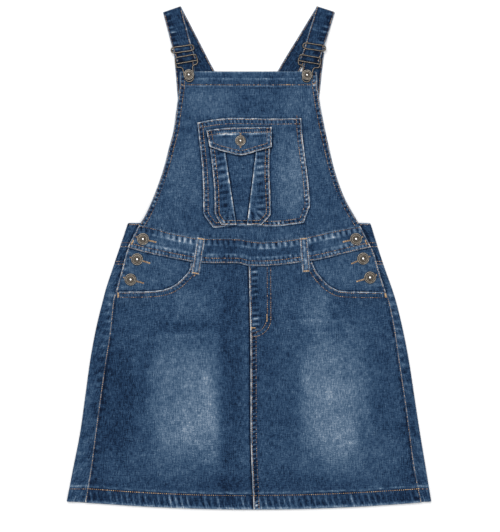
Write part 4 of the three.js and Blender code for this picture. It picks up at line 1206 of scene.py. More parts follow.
def wire(points, steps):
    """Round wire along a smooth line through points: its points, four-sided faces, end faces and painted
    light.
    """
    points = np.array(points, float)
    run = np.concatenate([[0], np.cumsum(np.sqrt(np.linalg.norm(np.diff(points, axis=0), axis=1)))])
    pad = np.concatenate([[2 * points[0] - points[1]], points, [2 * points[-1] - points[-2]]])
    knots = np.concatenate([[-(run[1] - run[0])], run, [2 * run[-1] - run[-2]]])
    places = np.linspace(0, run[-1], steps + 1)
    low = np.clip(np.searchsorted(run, places, side="right") - 1, 0, len(run) - 2)
    t0, t1, t2, t3 = (knots[low + k][:, None] for k in range(4))
    p0, p1, p2, p3 = (pad[low + k] for k in range(4))
    t = places[:, None]

    def blend(low, high, start, end):
        return (end - t) / (end - start) * low + (t - start) / (end - start) * high

    first, second, third = blend(p0, p1, t0, t1), blend(p1, p2, t1, t2), blend(p2, p3, t2, t3)
    middle = blend(blend(first, second, t0, t2), blend(second, third, t1, t3), t1, t2)
    ahead = np.gradient(middle, axis=0)
    ahead /= np.linalg.norm(ahead, axis=1, keepdims=True)
    up = np.cross(np.cross(ahead, (0.02, 0.03, 1.0)), ahead)
    up /= np.linalg.norm(up, axis=1, keepdims=True)
    across = np.cross(ahead, up)
    angle = np.linspace(0, 2 * math.pi, wire_sides, endpoint=False)
    ring = up[:, None] * np.cos(angle)[None, :, None] + across[:, None] * np.sin(angle)[None, :, None]
    tube = (middle[:, None] + ring * wire_radius).reshape(-1, 3)
    index = np.arange(len(tube)).reshape(-1, wire_sides)
    turned_index = np.roll(index, -1, 1)
    quads = np.stack([index[:-1], index[1:], turned_index[1:], turned_index[:-1]], -1).reshape(-1, 4)
    ends = []
    points_out = [tube]
    for row, centre in ((index[0][::-1], middle[0]), (index[-1], middle[-1])):
        points_out.append(centre[None])
        tip = len(tube) + len(points_out) - 2
        ends.append(np.stack([row, np.roll(row, -1), np.full(wire_sides, tip)], 1))
    # Painted light: a painted highlight along the wire's top and painted shade on its sides and underside
    shine = np.concatenate([0.06 + 0.72 * np.clip(ring[..., 2].ravel(), 0, 1) ** 3, [0.2, 0.2]])
    return np.concatenate(points_out), quads, np.concatenate(ends), shine


def joined(parts):
    """Points and faces of several meshes as one."""
    quads, triangles, start = [], [], 0
    for part in parts:
        quads.append(part[1] + start)
        triangles.append(part[2] + start)
        start += len(part[0])
    return (np.concatenate([part[0] for part in parts]), np.concatenate(quads), np.concatenate(triangles),
            np.concatenate([part[3] for part in parts]))


def slider(side):
    place = straps[side]["slider"]
    turn = math.radians(place[2])

    def put(across, up, height=slider_height):
        return (*turned_place(place, turn, across, up), height)

    half = slider_depth / 2
    straight = slider_width / 2 - half
    ring = []
    for end, first in ((1, -90), (-1, 90)):
        for degrees in range(first, first + 181, 45):
            angle = math.radians(degrees)
            ring.append(put(end * straight + half * math.cos(angle), half * math.sin(angle)))
    upper = [put(0, -half), *ring[:5], put(0, half)]
    lower = [put(wire_overlap, half), *ring[5:], put(wire_overlap, -half)]
    end = straight + half
    bent = slider_bar_height + bar_bend
    bar = [put(-end, 0), put(-end + bar_bend, 0, bent), put(-end + bar_inset, 0, slider_bar_height),
           put(end - bar_inset, 0, slider_bar_height), put(end - bar_bend, 0, bent), put(end, 0)]
    return joined([wire(upper, 70), wire(lower, 70), wire(bar, 60)])


def buckle(side):
    button = straps[side]["button"]

    def put(across, up, height):
        return (*in_buckle(button, side, across, up), height)

    def half(mirror):
        rows = [put(mirror * row["across"], row["up"], row["height"]) for row in buckle_half]
        top, tip = buckle_half[0]["height"], buckle_half[-1]["height"]
        return [put(mirror * -wire_overlap, buckle_top_bar, top), *rows,
                put(mirror * -wire_overlap, buckle_tip, tip)]

    def bar(up, height):
        return [put(-buckle_reach, up, height), put(0, up, height), put(buckle_reach, up, height)]

    return joined([wire(half(1), 110), wire(half(-1), 110), wire(bar(buckle_loop_bar, loop_bar_height), 30),
                   wire(bar(buckle_low_bar, loop_bar_height + 0.4), 30)])


def button_mesh(place, level):
    """Metal button: foot, rolled rim, ring of fine rays and a raised middle with a dimple. Its colour is
    painted light: painted highlights on the rim and the dome, painted shade in the hollows and under the
    head.
    """
    radius, foot = place["radius"], place["foot"]
    # The last column of the profile is painted light: high for painted highlights on the rim and the dome,
    # low for painted shade in the hollows and under the head
    profile = table("out up rays shine", [
        (0, 0, 0, 0.2), (button_foot, 0, 0, 0.2), (button_foot, foot, 0, 0.2), (radius - 0.9, foot, 0, 0.1),
        (radius - 0.35, foot + 0.15, 0, 0.1), (radius, foot + 0.65, 0, 0.15),
        (radius - 0.08, foot + 1.15, 0, 0.34), (radius - 0.4, foot + 1.6, 0, 0.6),
        (radius - 0.85, foot + 1.85, 0, 0.7), (radius - 1.3, foot + 1.75, 0, 0.5),
        (radius - 1.6, foot + 1.42, 0, 0.2), (radius * 0.76, foot + 1.36, 1, 0.36),
        (radius * 0.66, foot + 1.42, 1, 0.5), (radius * 0.56, foot + 1.46, 1, 0.4),
        (radius * 0.5, foot + 1.5, 0, 0.14), (radius * 0.46, foot + 1.86, 0, 0.44),
        (radius * 0.4, foot + 1.98, 0, 0.5), (radius * 0.33, foot + 1.84, 0, 0.16),
        (radius * 0.28, foot + 1.6, 0, 0.1), (radius * 0.22, foot + 1.56, 0, 0.3),
        (radius * 0.17, foot + 1.72, 0, 0.75), (radius * 0.1, foot + 2.0, 0, 1),
        (radius * 0.05, foot + 2.1, 0, 1), (0, foot + 2.1, 0, 1),
    ])
    angle = np.linspace(0, 2 * math.pi, button_segments, endpoint=False)
    rings = profile[1:-1]
    out, up, rays = (np.array([row[name] for row in rings])[:, None] for name in ("out", "up", "rays"))
    height = up + 0.1 * rays * np.cos(angle * button_segments / 3)
    ring = np.stack([out * np.cos(angle), out * np.sin(angle), height], -1).reshape(-1, 3)
    points = np.concatenate([ring, [(0, 0, profile[0]["up"]), (0, 0, profile[-1]["up"])]])
    index = np.arange(len(ring)).reshape(-1, button_segments)
    after = np.roll(index, -1, 1)
    quads = np.stack([index[:-1], after[:-1], after[1:], index[1:]], -1).reshape(-1, 4)
    low = np.stack([after[0], index[0], np.full(button_segments, len(ring))], 1)
    high = np.stack([index[-1], after[-1], np.full(button_segments, len(ring) + 1)], 1)
    shine = np.repeat([row["shine"] for row in rings], button_segments)
    shine = np.append(shine, [profile[0]["shine"], profile[-1]["shine"]])
    return points + (place["x"], place["y"], level), quads, np.concatenate([low, high]), shine


# Materials


def linear(red, green, blue):
    """Colour for a shader from screen values of 0 to 255."""
    def one(value):
        value /= 255
        return value / 12.92 if value <= 0.04045 else ((value + 0.055) / 1.055) ** 2.4
    return (one(red), one(green), one(blue), 1)


def material(name):
    """New material with its nodes and its shader."""
    made = bpy.data.materials.new(name)
    made.use_nodes = True
    return made, made.node_tree, made.node_tree.nodes["Principled BSDF"]


def put_node(tree, kind, **values):
    """Node whose inputs are set by the names that start with a capital, and its fields by the others."""
    node = tree.nodes.new(kind)
    for key, value in values.items():
        if key[0].isupper():
            node.inputs[key.replace("_", " ")].default_value = value
        else:
            setattr(node, key, value)
    return node


def attribute(tree, name, output="Fac"):
    return put_node(tree, "ShaderNodeAttribute", attribute_name=name).outputs[output]


def stretched(tree, vector, scale):
    node = put_node(tree, "ShaderNodeVectorMath", operation="MULTIPLY")
    tree.links.new(vector, node.inputs[0])
    node.inputs[1].default_value = scale
    return node.outputs[0]


def noise(tree, vector, **values):
    node = put_node(tree, "ShaderNodeTexNoise", **values)
    tree.links.new(vector, node.inputs["Vector"])
    return node.outputs["Fac"]


def added(tree, base, extra, factor):
    """base + (extra - 0.5) * factor"""
    lowered = put_node(tree, "ShaderNodeMath", operation="SUBTRACT")
    tree.links.new(extra, lowered.inputs[0])
    lowered.inputs[1].default_value = 0.5
    both = put_node(tree, "ShaderNodeMath", operation="MULTIPLY_ADD")
    tree.links.new(lowered.outputs[0], both.inputs[0])
    both.inputs[1].default_value = factor
    tree.links.new(base, both.inputs[2])
    return both.outputs[0]


def coloured(tree, value, colours):
    """Colour for a value, from a table of tones."""
    ramp = put_node(tree, "ShaderNodeValToRGB")
    elements = ramp.color_ramp.elements
    while len(elements) > 1:
        elements.remove(elements[-1])
    for i, row in enumerate(colours):
        element = elements[0] if i == 0 else elements.new(row["tone"])
        element.position = row["tone"]
        element.color = linear(row["red"], row["green"], row["blue"])
    tree.links.new(value, ramp.inputs[0])
    return ramp.outputs["Color"]


def bumped(tree, height, strength, distance, below=None):
    bump = put_node(tree, "ShaderNodeBump", Strength=strength, Distance=distance)
    tree.links.new(height, bump.inputs["Height"])
    if below:
        tree.links.new(below, bump.inputs["Normal"])
    return bump.outputs["Normal"]


def spread(tree, value, low, high):
    """Value from 0 to 1 turned into one from low to high."""
    node = put_node(tree, "ShaderNodeMapRange", To_Min=low, To_Max=high)
    tree.links.new(value, node.inputs["Value"])
    return node.outputs["Result"]


denim_colours = table("tone red green blue", [
    (0.0, 6, 20, 41), (0.2, 26, 50, 79), (0.4, 49, 75, 103), (0.6, 79, 102, 126),
    (0.75, 108, 128, 150), (0.9, 146, 161, 176), (1.05, 208, 209, 210),
])
inside_colours = table("tone red green blue", [
    (0.0, 22, 32, 50), (0.35, 58, 70, 88), (0.65, 98, 108, 122), (1.0, 176, 178, 180),
])


def denim_material():
    """Twill with slubs, weft, grain and clouds of dye over the tones that the meshes carry."""
    made, tree, shader = material("denim")
    weave = attribute(tree, "weave", "Vector")
    tone = attribute(tree, "tone")
    wave = put_node(tree, "ShaderNodeTexWave", bands_direction="DIAGONAL", Scale=0.5, Distortion=1.2,
                    Detail=2.0, Detail_Scale=1.6)
    tree.links.new(weave, wave.inputs["Vector"])
    twill = wave.outputs["Fac"]
    slub = noise(tree, stretched(tree, weave, (0.6, 0.1, 0.6)), Scale=1.0, Detail=3.0, Roughness=0.6)
    weft = noise(tree, stretched(tree, weave, (0.12, 0.5, 0.5)), Scale=1.0, Detail=2.0, Roughness=0.6)
    grain = noise(tree, weave, Scale=0.62, Detail=3.0, Roughness=0.7)
    cloud = noise(tree, weave, Scale=0.075, Detail=3.0, Roughness=0.6)
    for extra, factor in ((slub, 0.9), (weft, 0.5), (grain, 1.0), (cloud, 0.26), (twill, 0.12)):
        tone = added(tree, tone, extra, factor)
    both = put_node(tree, "ShaderNodeMix", data_type="RGBA")
    tree.links.new(attribute(tree, "inside"), both.inputs["Factor"])
    tree.links.new(coloured(tree, tone, denim_colours), both.inputs[6])
    tree.links.new(coloured(tree, tone, inside_colours), both.inputs[7])
    tree.links.new(both.outputs[2], shader.inputs["Base Color"])
    tree.links.new(spread(tree, grain, 0.78, 0.98), shader.inputs["Roughness"])
    ribs = bumped(tree, twill, 0.35, 0.00025)
    rough = bumped(tree, added(tree, slub, grain, 0.8), 0.5, 0.0005, ribs)
    tree.links.new(rough, shader.inputs["Normal"])
    shader.inputs["Specular IOR Level"].default_value = 0.08
    shader.inputs["Sheen Weight"].default_value = 0.05
    shader.inputs["Sheen Roughness"].default_value = 0.5
    shader.inputs["Sheen Tint"].default_value = (0.8, 0.87, 1.0, 1)
    return made


def metal_material(name, colours, rough):
    """Tarnished metal whose colour also carries the meshes' painted light: paler at painted highlights,
    darker at painted shade.
    """
    made, tree, shader = material(name)
    place = put_node(tree, "ShaderNodeTexCoord").outputs["Object"]
    tarnish = noise(tree, place, Scale=520.0, Detail=4.0, Roughness=0.7)
    colour = coloured(tree, added(tree, attribute(tree, "shine"), tarnish, 0.75), colours)
    tree.links.new(colour, shader.inputs["Base Color"])
    tree.links.new(spread(tree, tarnish, rough - 0.12, rough + 0.18), shader.inputs["Roughness"])
    tree.links.new(bumped(tree, tarnish, 0.15, 0.00005), shader.inputs["Normal"])
    shader.inputs["Metallic"].default_value = 0.85
    return made


denim = denim_material()
# Colours of the metals' painted light, from painted shade at 0 to painted highlights near 1
button_metal = metal_material("button_metal", table("tone red green blue", [
    (0.0, 12, 10, 9), (0.3, 48, 44, 40), (0.6, 116, 109, 100), (0.85, 200, 197, 190), (1.0, 250, 249, 247),
]), 0.4)
wire_metal = metal_material("wire_metal", table("tone red green blue", [
    (0.0, 10, 8, 7), (0.4, 42, 37, 33), (0.8, 110, 102, 93), (1.0, 174, 166, 155),
]), 0.34)


# Sewing: every stitch is a short thread that dips into the cloth at both ends
stitch_pitch = 3.4
stitch_length = 2.7
thread_radius = 0.52
fine_thread = 0.34
slit_radius = 0.3
end_room = 0.8
hole_room = 1.2
slit_lift = 0.75
tack_lift = 0.12
tack_pitch = 0.62
path_step = 1.6
face_reach = 0.9
sewing = {}


def thread(region, centre, ahead, normal, length, radius=thread_radius):
    """Adds stitches to a region: their middles, directions, the cloth's normals and their lengths.

    Under the dress they are pressed up into the cloth, which lies flat on the floor."""
    centre, ahead, normal = (np.atleast_2d(np.asarray(a, float)) for a in (centre, ahead, normal))
    ahead = ahead / np.linalg.norm(ahead, axis=1, keepdims=True)
    normal = normal / np.linalg.norm(normal, axis=1, keepdims=True)
    length = np.broadcast_to(length, len(centre))[:, None]
    side = np.cross(normal, ahead)
    rings = []
    for along, thick, lift in ((-0.5, 0.45, -0.75), (-0.27, 1.0, 0.3), (0.27, 1.0, 0.3), (0.5, 0.45, -0.75)):
        middle = centre + ahead * along * length + normal * lift * radius
        for turn in (45, 135, 225, 315):
            angle = math.radians(turn)
            rings.append(middle + radius * thick * (side * math.cos(angle) + normal * math.sin(angle)))
    stitches = np.stack(rings, 1)
    stitches[..., 2] += np.maximum(-stitches[..., 2].min(1), 0)[:, None]
    sewing.setdefault(region, []).append(stitches)


def sew_path(region, path, normals, start=0.0, end=0.0, seed=1, radius=thread_radius):
    """Row of stitches along a line of points on the cloth."""
    run = run_along(path)
    count = int((run[-1] - start - end) / stitch_pitch)
    if count < 1:
        return
    places = start + (np.arange(count) + 0.5) * (run[-1] - start - end) / count
    places = places + 0.12 * wobble(np.arange(count) * 1.7, seed)

    def at(values, where):
        return np.stack([np.interp(where, run, values[:, k]) for k in range(3)], 1)

    ahead = at(path, places + stitch_length / 2) - at(path, places - stitch_length / 2)
    level = np.abs(ahead[:, 2]) < 0.5 * stitch_length
    if level.any():
        centre, normal = at(path, places)[level], at(normals, places)[level]
        thread(region, centre, ahead[level], normal, stitch_length, radius)


def raised_path(face, line, lift=0.0):
    """Points and normals over a line on the plan, on a face given as a height over the plan."""
    x, y = line[:, 0], line[:, 1]
    across = (face(x + face_reach, y) - face(x - face_reach, y)) / (2 * face_reach)
    up = (face(x, y + face_reach) - face(x, y - face_reach)) / (2 * face_reach)
    normal = np.stack([-across, -up, np.ones_like(x)], 1)
    return np.stack([x, y, face(x, y) + lift], 1), normal


def offset_line(line, distance):
    """The line moved to its left by a distance, with its corners kept sharp."""
    step = np.diff(line, axis=0)
    step /= np.linalg.norm(step, axis=1, keepdims=True)
    left = np.stack([-step[:, 1], step[:, 0]], 1)
    before = np.concatenate([left[:1], left])
    after = np.concatenate([left, left[-1:]])
    middle = before + after
    middle /= np.linalg.norm(middle, axis=1, keepdims=True)
    stretch = 1 / np.clip((middle * after).sum(1), 0.5, 1)
    moved = line + middle * stretch[:, None] * distance
    away = np.abs(beside(line, moved[:, 0], moved[:, 1])[1])
    return moved[away > abs(distance) - 0.3]


def finer(line):
    """The same line with points close together."""
    run = run_along(line)
    places = np.linspace(0, run[-1], max(2, int(run[-1] / path_step)))
    return np.stack([np.interp(places, run, line[:, k]) for k in range(line.shape[1])], 1)


def sew_seams(region, face, seams, radius=thread_radius):
    for i, one in enumerate(seams):
        start, end = (room + end_room for room in one["ends"])
        for row in one["rows"]:
            path, normals = raised_path(face, finer(offset_line(one["line"], row)))
            sew_path(region, path, normals, start, end, i + row, radius)


def bar_tack(region, face, start, end, width=3.0):
    """Dense bar of thread from start to end on the plan, as on a belt loop or a buttonhole."""
    start, end = np.array(start, float), np.array(end, float)
    run = end - start
    length = math.hypot(*run)
    ahead = run / length
    count = max(2, int(length / tack_pitch))
    places = start + ahead * (np.arange(count) + 0.5)[:, None] * length / count
    path, normals = raised_path(face, places, tack_lift)
    lean = 0.25 * (-1) ** np.arange(count)
    across = np.stack([-ahead[1] + lean * ahead[0], ahead[0] + lean * ahead[1], 0 * lean], 1)
    across -= normals * ((across * normals).sum(1) / (normals * normals).sum(1))[:, None]
    widths = width * (0.92 + 0.08 * wobble(np.arange(count), 4))
    thread(region, path, across, normals, widths, fine_thread)


def buttonhole(face, centre, inner, outer):
    """Gold thread round a buttonhole that shows on both sides of its button, with a near-black thread along
    the slit that paints the shadow in it.
    """
    centre = np.array(centre, float)
    for end in (np.array(inner, float), np.array(outer, float)):
        ahead = (end - centre) / math.hypot(*(end - centre))
        start = centre + ahead * (button_foot + hole_room)
        bar_tack("gold", face, start, end)
        # A near-black thread along the slit paints the shadow in it
        slit_shadow = np.stack([start, mix(start, end, 0.9)])
        path, normals = raised_path(face, slit_shadow, slit_lift)
        length = math.hypot(*(slit_shadow[1] - slit_shadow[0]))
        thread("slit_shadow", path.mean(0), path[1] - path[0], normals.mean(0), length, slit_radius)


def sew_grid(region, outer, normal, aside, places, start=0.0, end=0.0, seed=1, radius=thread_radius):
    """Row of stitches along a strip, at one distance across it. places are the columns' distances."""
    column = np.interp(aside, places, np.arange(len(places)))
    low = min(int(column), len(places) - 2)
    path = mix(outer[:, low], outer[:, low + 1], column - low)
    sew_path(region, path, mix(normal[:, low], normal[:, low + 1], column - low), start, end, seed, radius)


def sewing_object(name, region, finish):
    """One mesh of all the stitches of a region, each a square tube of four rings."""
    rings = np.concatenate(sewing[region])
    count = len(rings)
    index = np.arange(count * 16).reshape(count, 4, 4)
    after = np.roll(index, -1, 2)
    quads = np.stack([index[:, :-1], after[:, :-1], after[:, 1:], index[:, 1:]], -1).reshape(-1, 4)
    quads = np.concatenate([quads, index[:, 0, ::-1], index[:, -1]])
    shade = np.repeat(chance(np.arange(count), 3), 16)
    made = mesh_object(name, rings.reshape(-1, 3), quads, attributes=dict(shade=shade))
    made.data.materials.append(finish)
    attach(made, "root")


def thread_material(name, dark, light):
    """Twisted thread, each stitch of its own shade between a dark and a light colour."""
    made, tree, shader = material(name)
    place = put_node(tree, "ShaderNodeTexCoord").outputs["Object"]
    twist = noise(tree, place, Scale=900.0, Detail=2.0)
    colours = table("tone red green blue", [(0.1, *dark), (0.9, *light)])
    colour = coloured(tree, added(tree, attribute(tree, "shade"), twist, 0.9), colours)
    tree.links.new(colour, shader.inputs["Base Color"])
    tree.links.new(bumped(tree, twist, 0.4, 0.0001), shader.inputs["Normal"])
    shader.inputs["Roughness"].default_value = 0.7
    shader.inputs["Specular IOR Level"].default_value = 0.2
    return made


brown_thread = thread_material("brown_thread", (74, 54, 42), (204, 172, 136))
gold_thread = thread_material("gold_thread", (158, 120, 80), (240, 204, 154))
# Near-black thread that paints the shadow in a buttonhole's slit
slit_shadow_thread = thread_material("slit_shadow_thread", (16, 20, 30), (44, 46, 56))


# Where the seams run on each piece: the cloth lies on the left of every line


def edge_line(x_at, low, high):
    """Line along an edge given as x over y, from one height to another."""
    y = np.linspace(low, high, max(3, int(abs(high - low) / 5)))
    return np.stack([x_at(y), y], 1)


def plan_line(rows):
    return smooth_line([(row["x"], row["y"]) for row in rows])


def across_line(y_at, low, high):
    """Line along an edge given as y over x, from one place across to another."""
    x = np.linspace(low, high, max(3, int(abs(high - low) / 5)))
    return np.stack([x, y_at(x)], 1)


def outline(x, y):
    """A piece's left edge down, its lower edge to the right and its right edge up, as one line."""
    inner = slice(2, -2, 3)
    rows = [(x[0, 0], y[0, 0])]
    rows += list(zip(x[inner, 0], y[inner, 0])) + [(x[-1, 0], y[-1, 0])]
    low = np.maximum.accumulate(x[-1, inner])
    forward = np.append(True, np.diff(low) > 0.01)
    rows += list(zip(x[-1, inner][forward], y[-1, inner][forward])) + [(x[-1, -1], y[-1, -1])]
    rows += list(zip(x[inner, -1][::-1], y[inner, -1][::-1])) + [(x[0, -1], y[0, -1])]
    return np.array(rows)


bib_top = bib_rows[0]["y"]
cargo_middle = cargo_pocket()
patch_outline = outline(*patch_pocket())
cargo_outline = outline(cargo_middle[..., 0], cargo_middle[..., 1])
flap_outline = outline(*flap())
flap_top_line = across_line(flap_top_edge, flap_columns[-1]["x"], flap_columns[0]["x"])
fold_left, fold_right = curve(cargo_rows, "y", "fold_left"), curve(cargo_rows, "y", "fold_right")
cargo_left_edge, cargo_right_edge = curve(cargo_rows, "y", "left"), curve(cargo_rows, "y", "right")
pleat_top = 180
pleat_left = edge_line(fold_left, cargo_rows[-1]["y"], pleat_top)
pleat_right = edge_line(fold_right, pleat_top, cargo_rows[-1]["y"])
pocket_edge = {-1: plan_line(left_pocket), 1: plan_line(right_pocket[::-1])}
patch_top_line = across_line(patch_top_edge, patch_rows[0]["right"], patch_rows[0]["left"])
waist_top_line = plan_line([dict(x=row["top_x"], y=row["top_y"]) for row in reversed(waist)])
waist_low_line = plan_line([dict(x=row["low_x"], y=row["low_y"]) for row in waist])
centre_points = edge_line(centre_line, waist[7]["low_y"], hem_centre)
hem_line = across_line(hem_low, sides[-1]["left_seam"], sides[-1]["right_seam"])
fly_outer = smooth_line([
    (35.1, -14.5), (35.4, -100.9), (33.2, -108.7), (27.6, -117.7), (16.2, -125), (4, -127)])
fly_inner = smooth_line([
    (29.5, -14.5), (29.8, -90.8), (27.6, -104.2), (19.6, -116.1), (12.9, -119), (4, -120.2)])
band_left_end = [(waist[0]["top_x"], waist[0]["top_y"]), (waist[0]["low_x"], waist[0]["low_y"])]
band_right_end = [(waist[-1]["low_x"], waist[-1]["low_y"]), (waist[-1]["top_x"], waist[-1]["top_y"])]
bib_top_line = [(bib_rows[0]["right"], bib_top), (bib_rows[0]["left"], bib_top)]
bib_low = 54

# Puckers between two rows of stitching: middle, half width, pitch, strength, lean and sharpness
rope = (4.6, 2.4, 7.3, 1.4, 0.15, 1.5)
whiskers = (8.8, 5.8, 9.4, 1.15, 0.1, 2.6)
pocket_rope = (5.4, 2.8, 5.6, 0.6, 0.3, 1.5)
side_rope = (7, 4, 13, 0.35, 0.2, 1.5)
hip_rope = (4.5, 3, 9, 0.6, 0.1, 1.5)
end_rope = (4, 2.4, 6, 0.6, 0, 1.5)

# The centre seam is sewn from the waistband to below_fly above the hem with one row, and from fly_length
# below the waistband with two. The hem's row lies hem_row above its edge.
fly_length = 100
below_fly = 287
hem_row = 21.8

# shade paints a shadow beside the edge of a piece or a fold that lies over the cloth, and a ridge whose
# paleness is below zero paints shade
seams_of = {
    "bib": [
        seam(edge_line(bib_left, bib_top, bib_low), (1.7, 7.2), rope, wear=0.42, seed=11),
        seam(edge_line(bib_right, bib_low, bib_top), (1.7, 7.2), rope, wear=0.42, seed=12),
        seam(bib_top_line, (21.2,), (16.5, 4, 8, 0.35, 0.1, 1), wear=0.34,
             ridge=[(11.6, 0.34), (9.2, -0.16), (23, 0.3), (25.4, -0.18)], ends=(9, 9), seed=13),
        seam(patch_outline, shade=0.34, cover=True, seed=14),
        seam(patch_top_line, shade=0.2, seed=15),
        seam(waist_top_line[::-1], pucker=(3.2, 2.2, 8, 0.5, 0, 1), seed=16),
    ],
    "bib_pocket": [
        seam(patch_outline, (2.0, 7.6), rope, wear=0.6, seed=21),
        seam(patch_top_line, (1.9, 8.8), (5.3, 2.7, 6.2, 1.1, 0.2, 1.6), wear=0.55, seed=22),
        seam(cargo_outline, shade=0.4, cover=True, seed=23),
        seam(flap_outline, shade=0.4, seed=24),
        seam(flap_top_line, shade=0.3, seed=25),
    ],
    "cargo": [
        seam(cargo_outline, (1.7, 6.8), rope, wear=0.6, seed=31),
        seam(flap_outline, shade=0.45, seed=34),
    ],
    "strips": [
        seam(cargo_outline, pucker=(14.5, 7.6, 10.5, 1.0, 0.1, 1.2), seed=35),
        seam(pleat_left, wear=0.62, seed=36),
        seam(pleat_right, wear=0.62, seed=37),
    ],
    # The panel's shade paints the shadow beside the fold edges of the strips above it
    "panel": [seam(pleat_left, shade=0.6, seed=38), seam(pleat_right, shade=0.6, seed=39)],
    "flap": [
        seam(flap_outline, (1.7, 7.2), (4.4, 2.4, 7, 0.9, 0.2, 1.6), wear=0.62, seed=41),
        seam(flap_top_line, (1.9, 8.2), [(5.0, 2.4, 3.8, 1.3, 0.1, 1.2), (13, 3, 30, 0.8, 0, 1)], wear=0.5,
             ridge=(10.4, 0.4), seed=42),
    ],
    "band": [
        seam(waist_top_line, (2.3,), (6.8, 4.4, 9.4, 1.3, 0.1, 0.7), wear=0.3, ridge=(11.2, 0.36), seed=51),
        seam(waist_low_line, (1.4, 7.8), [(4.6, 2.7, 5.8, 1.2, 0.1, 0.55), (11, 2.8, 7.6, 1.0, 0.1, 0.6)],
             wear=0.56, ridge=(13.6, 0.34), seed=52),
        seam(band_left_end, (1.6,), end_rope, wear=0.6, seed=53),
        seam(band_right_end, (1.6,), end_rope, wear=0.6, seed=54),
    ],
    "hip_left": [
        seam(waist_low_line[::-1], shade=0.3, seed=61),
        seam(edge_line(left_seam, 16, -60), (1.5,), hip_rope, wear=0.6, seed=62),
        seam(pocket_edge[-1], shade=0.34, cover=True, seed=63),
    ],
    "hip_right": [
        seam(waist_low_line[::-1], shade=0.3, seed=64),
        seam(edge_line(right_seam, -60, 16), (1.5,), hip_rope, wear=0.6, seed=65),
        seam(pocket_edge[1], shade=0.34, cover=True, seed=66),
    ],
    "front_left": [
        seam(pocket_edge[-1], (2.1, 8.9), pocket_rope, wear=0.62, ends=(2, 4), seed=71),
        # ridge (3.4, -0.3) paints the shadow that the back piece's edge casts on the front panel beside the
        # side seam
        seam(edge_line(left_seam, -58, hem_side), (1.1,), side_rope, wear=0.55, ridge=(3.4, -0.3), seed=72),
        seam(centre_points, shade=0.6, seed=73),
        seam(waist_low_line[::-1], shade=0.3, seed=74),
    ],
    "front_right": [
        seam(pocket_edge[1], (2.1, 8.9), pocket_rope, wear=0.62, ends=(4, 2), seed=81),
        # ridge (3.4, -0.3) paints the shadow that the back piece's edge casts on the front panel beside the
        # side seam
        seam(edge_line(right_seam, hem_side, -58), (1.1,), side_rope, wear=0.55, ridge=(3.4, -0.3), seed=82),
        seam(centre_points, (2.3,), whiskers, wear=0.9, ends=(0, below_fly), seed=83),
        seam(centre_points, (2.3, 8.9), (5.6, 3.0, 7.0, 2.1, 0.4, 1.6), wear=0.9, ends=(fly_length, 0),
             seed=87),
        seam(fly_outer, (0,), (-3, 2.4, 7, 0.5, 0.2, 1.5), seed=84),
        seam(fly_inner, (0,), seed=85),
        seam(waist_low_line[::-1], shade=0.3, seed=86),
    ],
    "hem": [
        seam(hem_line, (hem_row,), [(11.5, 9, 9.7, 0.95, 0.24, 4.5), (6, 6, 5.2, 0.45, 0.5, 1.2)], wear=0.4,
             ridge=[(hem_row + 4, 0.5), (hem_row + 1.8, -0.3), (2.4, 0.4)], seed=91),
    ],
}


def loop_seams(line):
    aside = frame_of(line)[1] * loop_width / 2
    return [seam(line - aside, (1.9,), (4.2, 2, 7, 0.5, 0, 1.5), wear=0.5, ridge=(6.1, 0.4), seed=95),
            seam(line[::-1] + aside, (1.9,), (4.2, 2, 9, 0.5, 0, 1.5), wear=0.45, seed=96)]


# Buttonholes and bar tacks in gold thread. A buttonhole shows on both sides of its button.
holes = table("on button inner outer", [
    ("band", "button_waist_left", (-147.9, 24.6), (-180.4, 33.5)),
    ("hip_left", "button_hip_left_upper", (-157.8, -8.9), (-190.4, 0.6)),
    ("hip_left", "button_hip_left_lower", (-167.8, -41.0), (-200.6, -31.6)),
    ("band", "button_waist_right", (150.3, 25.0), (182.2, 33.4)),
    ("hip_right", "button_hip_right_upper", (164.1, -9.8), (194.5, 2.2)),
    ("hip_right", "button_hip_right_lower", (172.4, -38.3), (205.0, -27.6)),
    ("flap", "button_flap", (-13.2, 198.6), (-13.2, 175.6)),
])
tacks = table("on x y end_x end_y width", [
    ("front_left", -208.8, -56.0, -208.6, -63.5, 4.0), ("front_right", 218.0, -56.5, 219.6, -63.5, 4.0),
    ("front_right", 29.2, -90.6, 29.2, -102.6, 1.8), ("front_right", 3.4, -112.4, 10.6, -112.4, 1.7),
    ("front_right", 11.2, -113.2, 11.2, -118.6, 1.7),
    ("band", -187.5, 20.4, -184.2, 28.0, 2.4), ("band", 188.6, 20.8, 186.2, 28.0, 2.4),
    ("bib", 60.4, 276.6, 65.4, 276.6, 1.4), ("bib", 103.0, 277.0, 106.4, 280.0, 1.6),
    ("bib", -108.6, 277.8, -104.4, 275.4, 1.6), ("front_left", -84.0, -24.0, -88.0, -30.0, 1.8),
])
loose_thread = np.array([(77.3, 223.4), (76.9, 227.4)])
loose_length = 5.2
loose_radius = 0.36
loose_lift = 0.7


def sew_gold(face, on):
    """Buttonholes and bar tacks of one piece."""
    for hole in holes:
        if hole["on"] == on:
            button = button_at[hole["button"]]
            buttonhole(face, (button["x"], button["y"]), hole["inner"], hole["outer"])
    for tack in tacks:
        if tack["on"] == on:
            bar_tack("gold", face, (tack["x"], tack["y"]), (tack["end_x"], tack["end_y"]), tack["width"])


# The pieces, each in the place of its CAD node
both_sides = ((-1, "left"), (1, "right"))


def dress(piece, node, finish):
    piece.data.materials.append(finish)
    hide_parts(node)
    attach(piece, "root")


def cloth_piece(piece, node):
    """Gives a piece of cloth the denim, hides its CAD node and hangs the piece under the root."""
    dress(piece, node, denim)


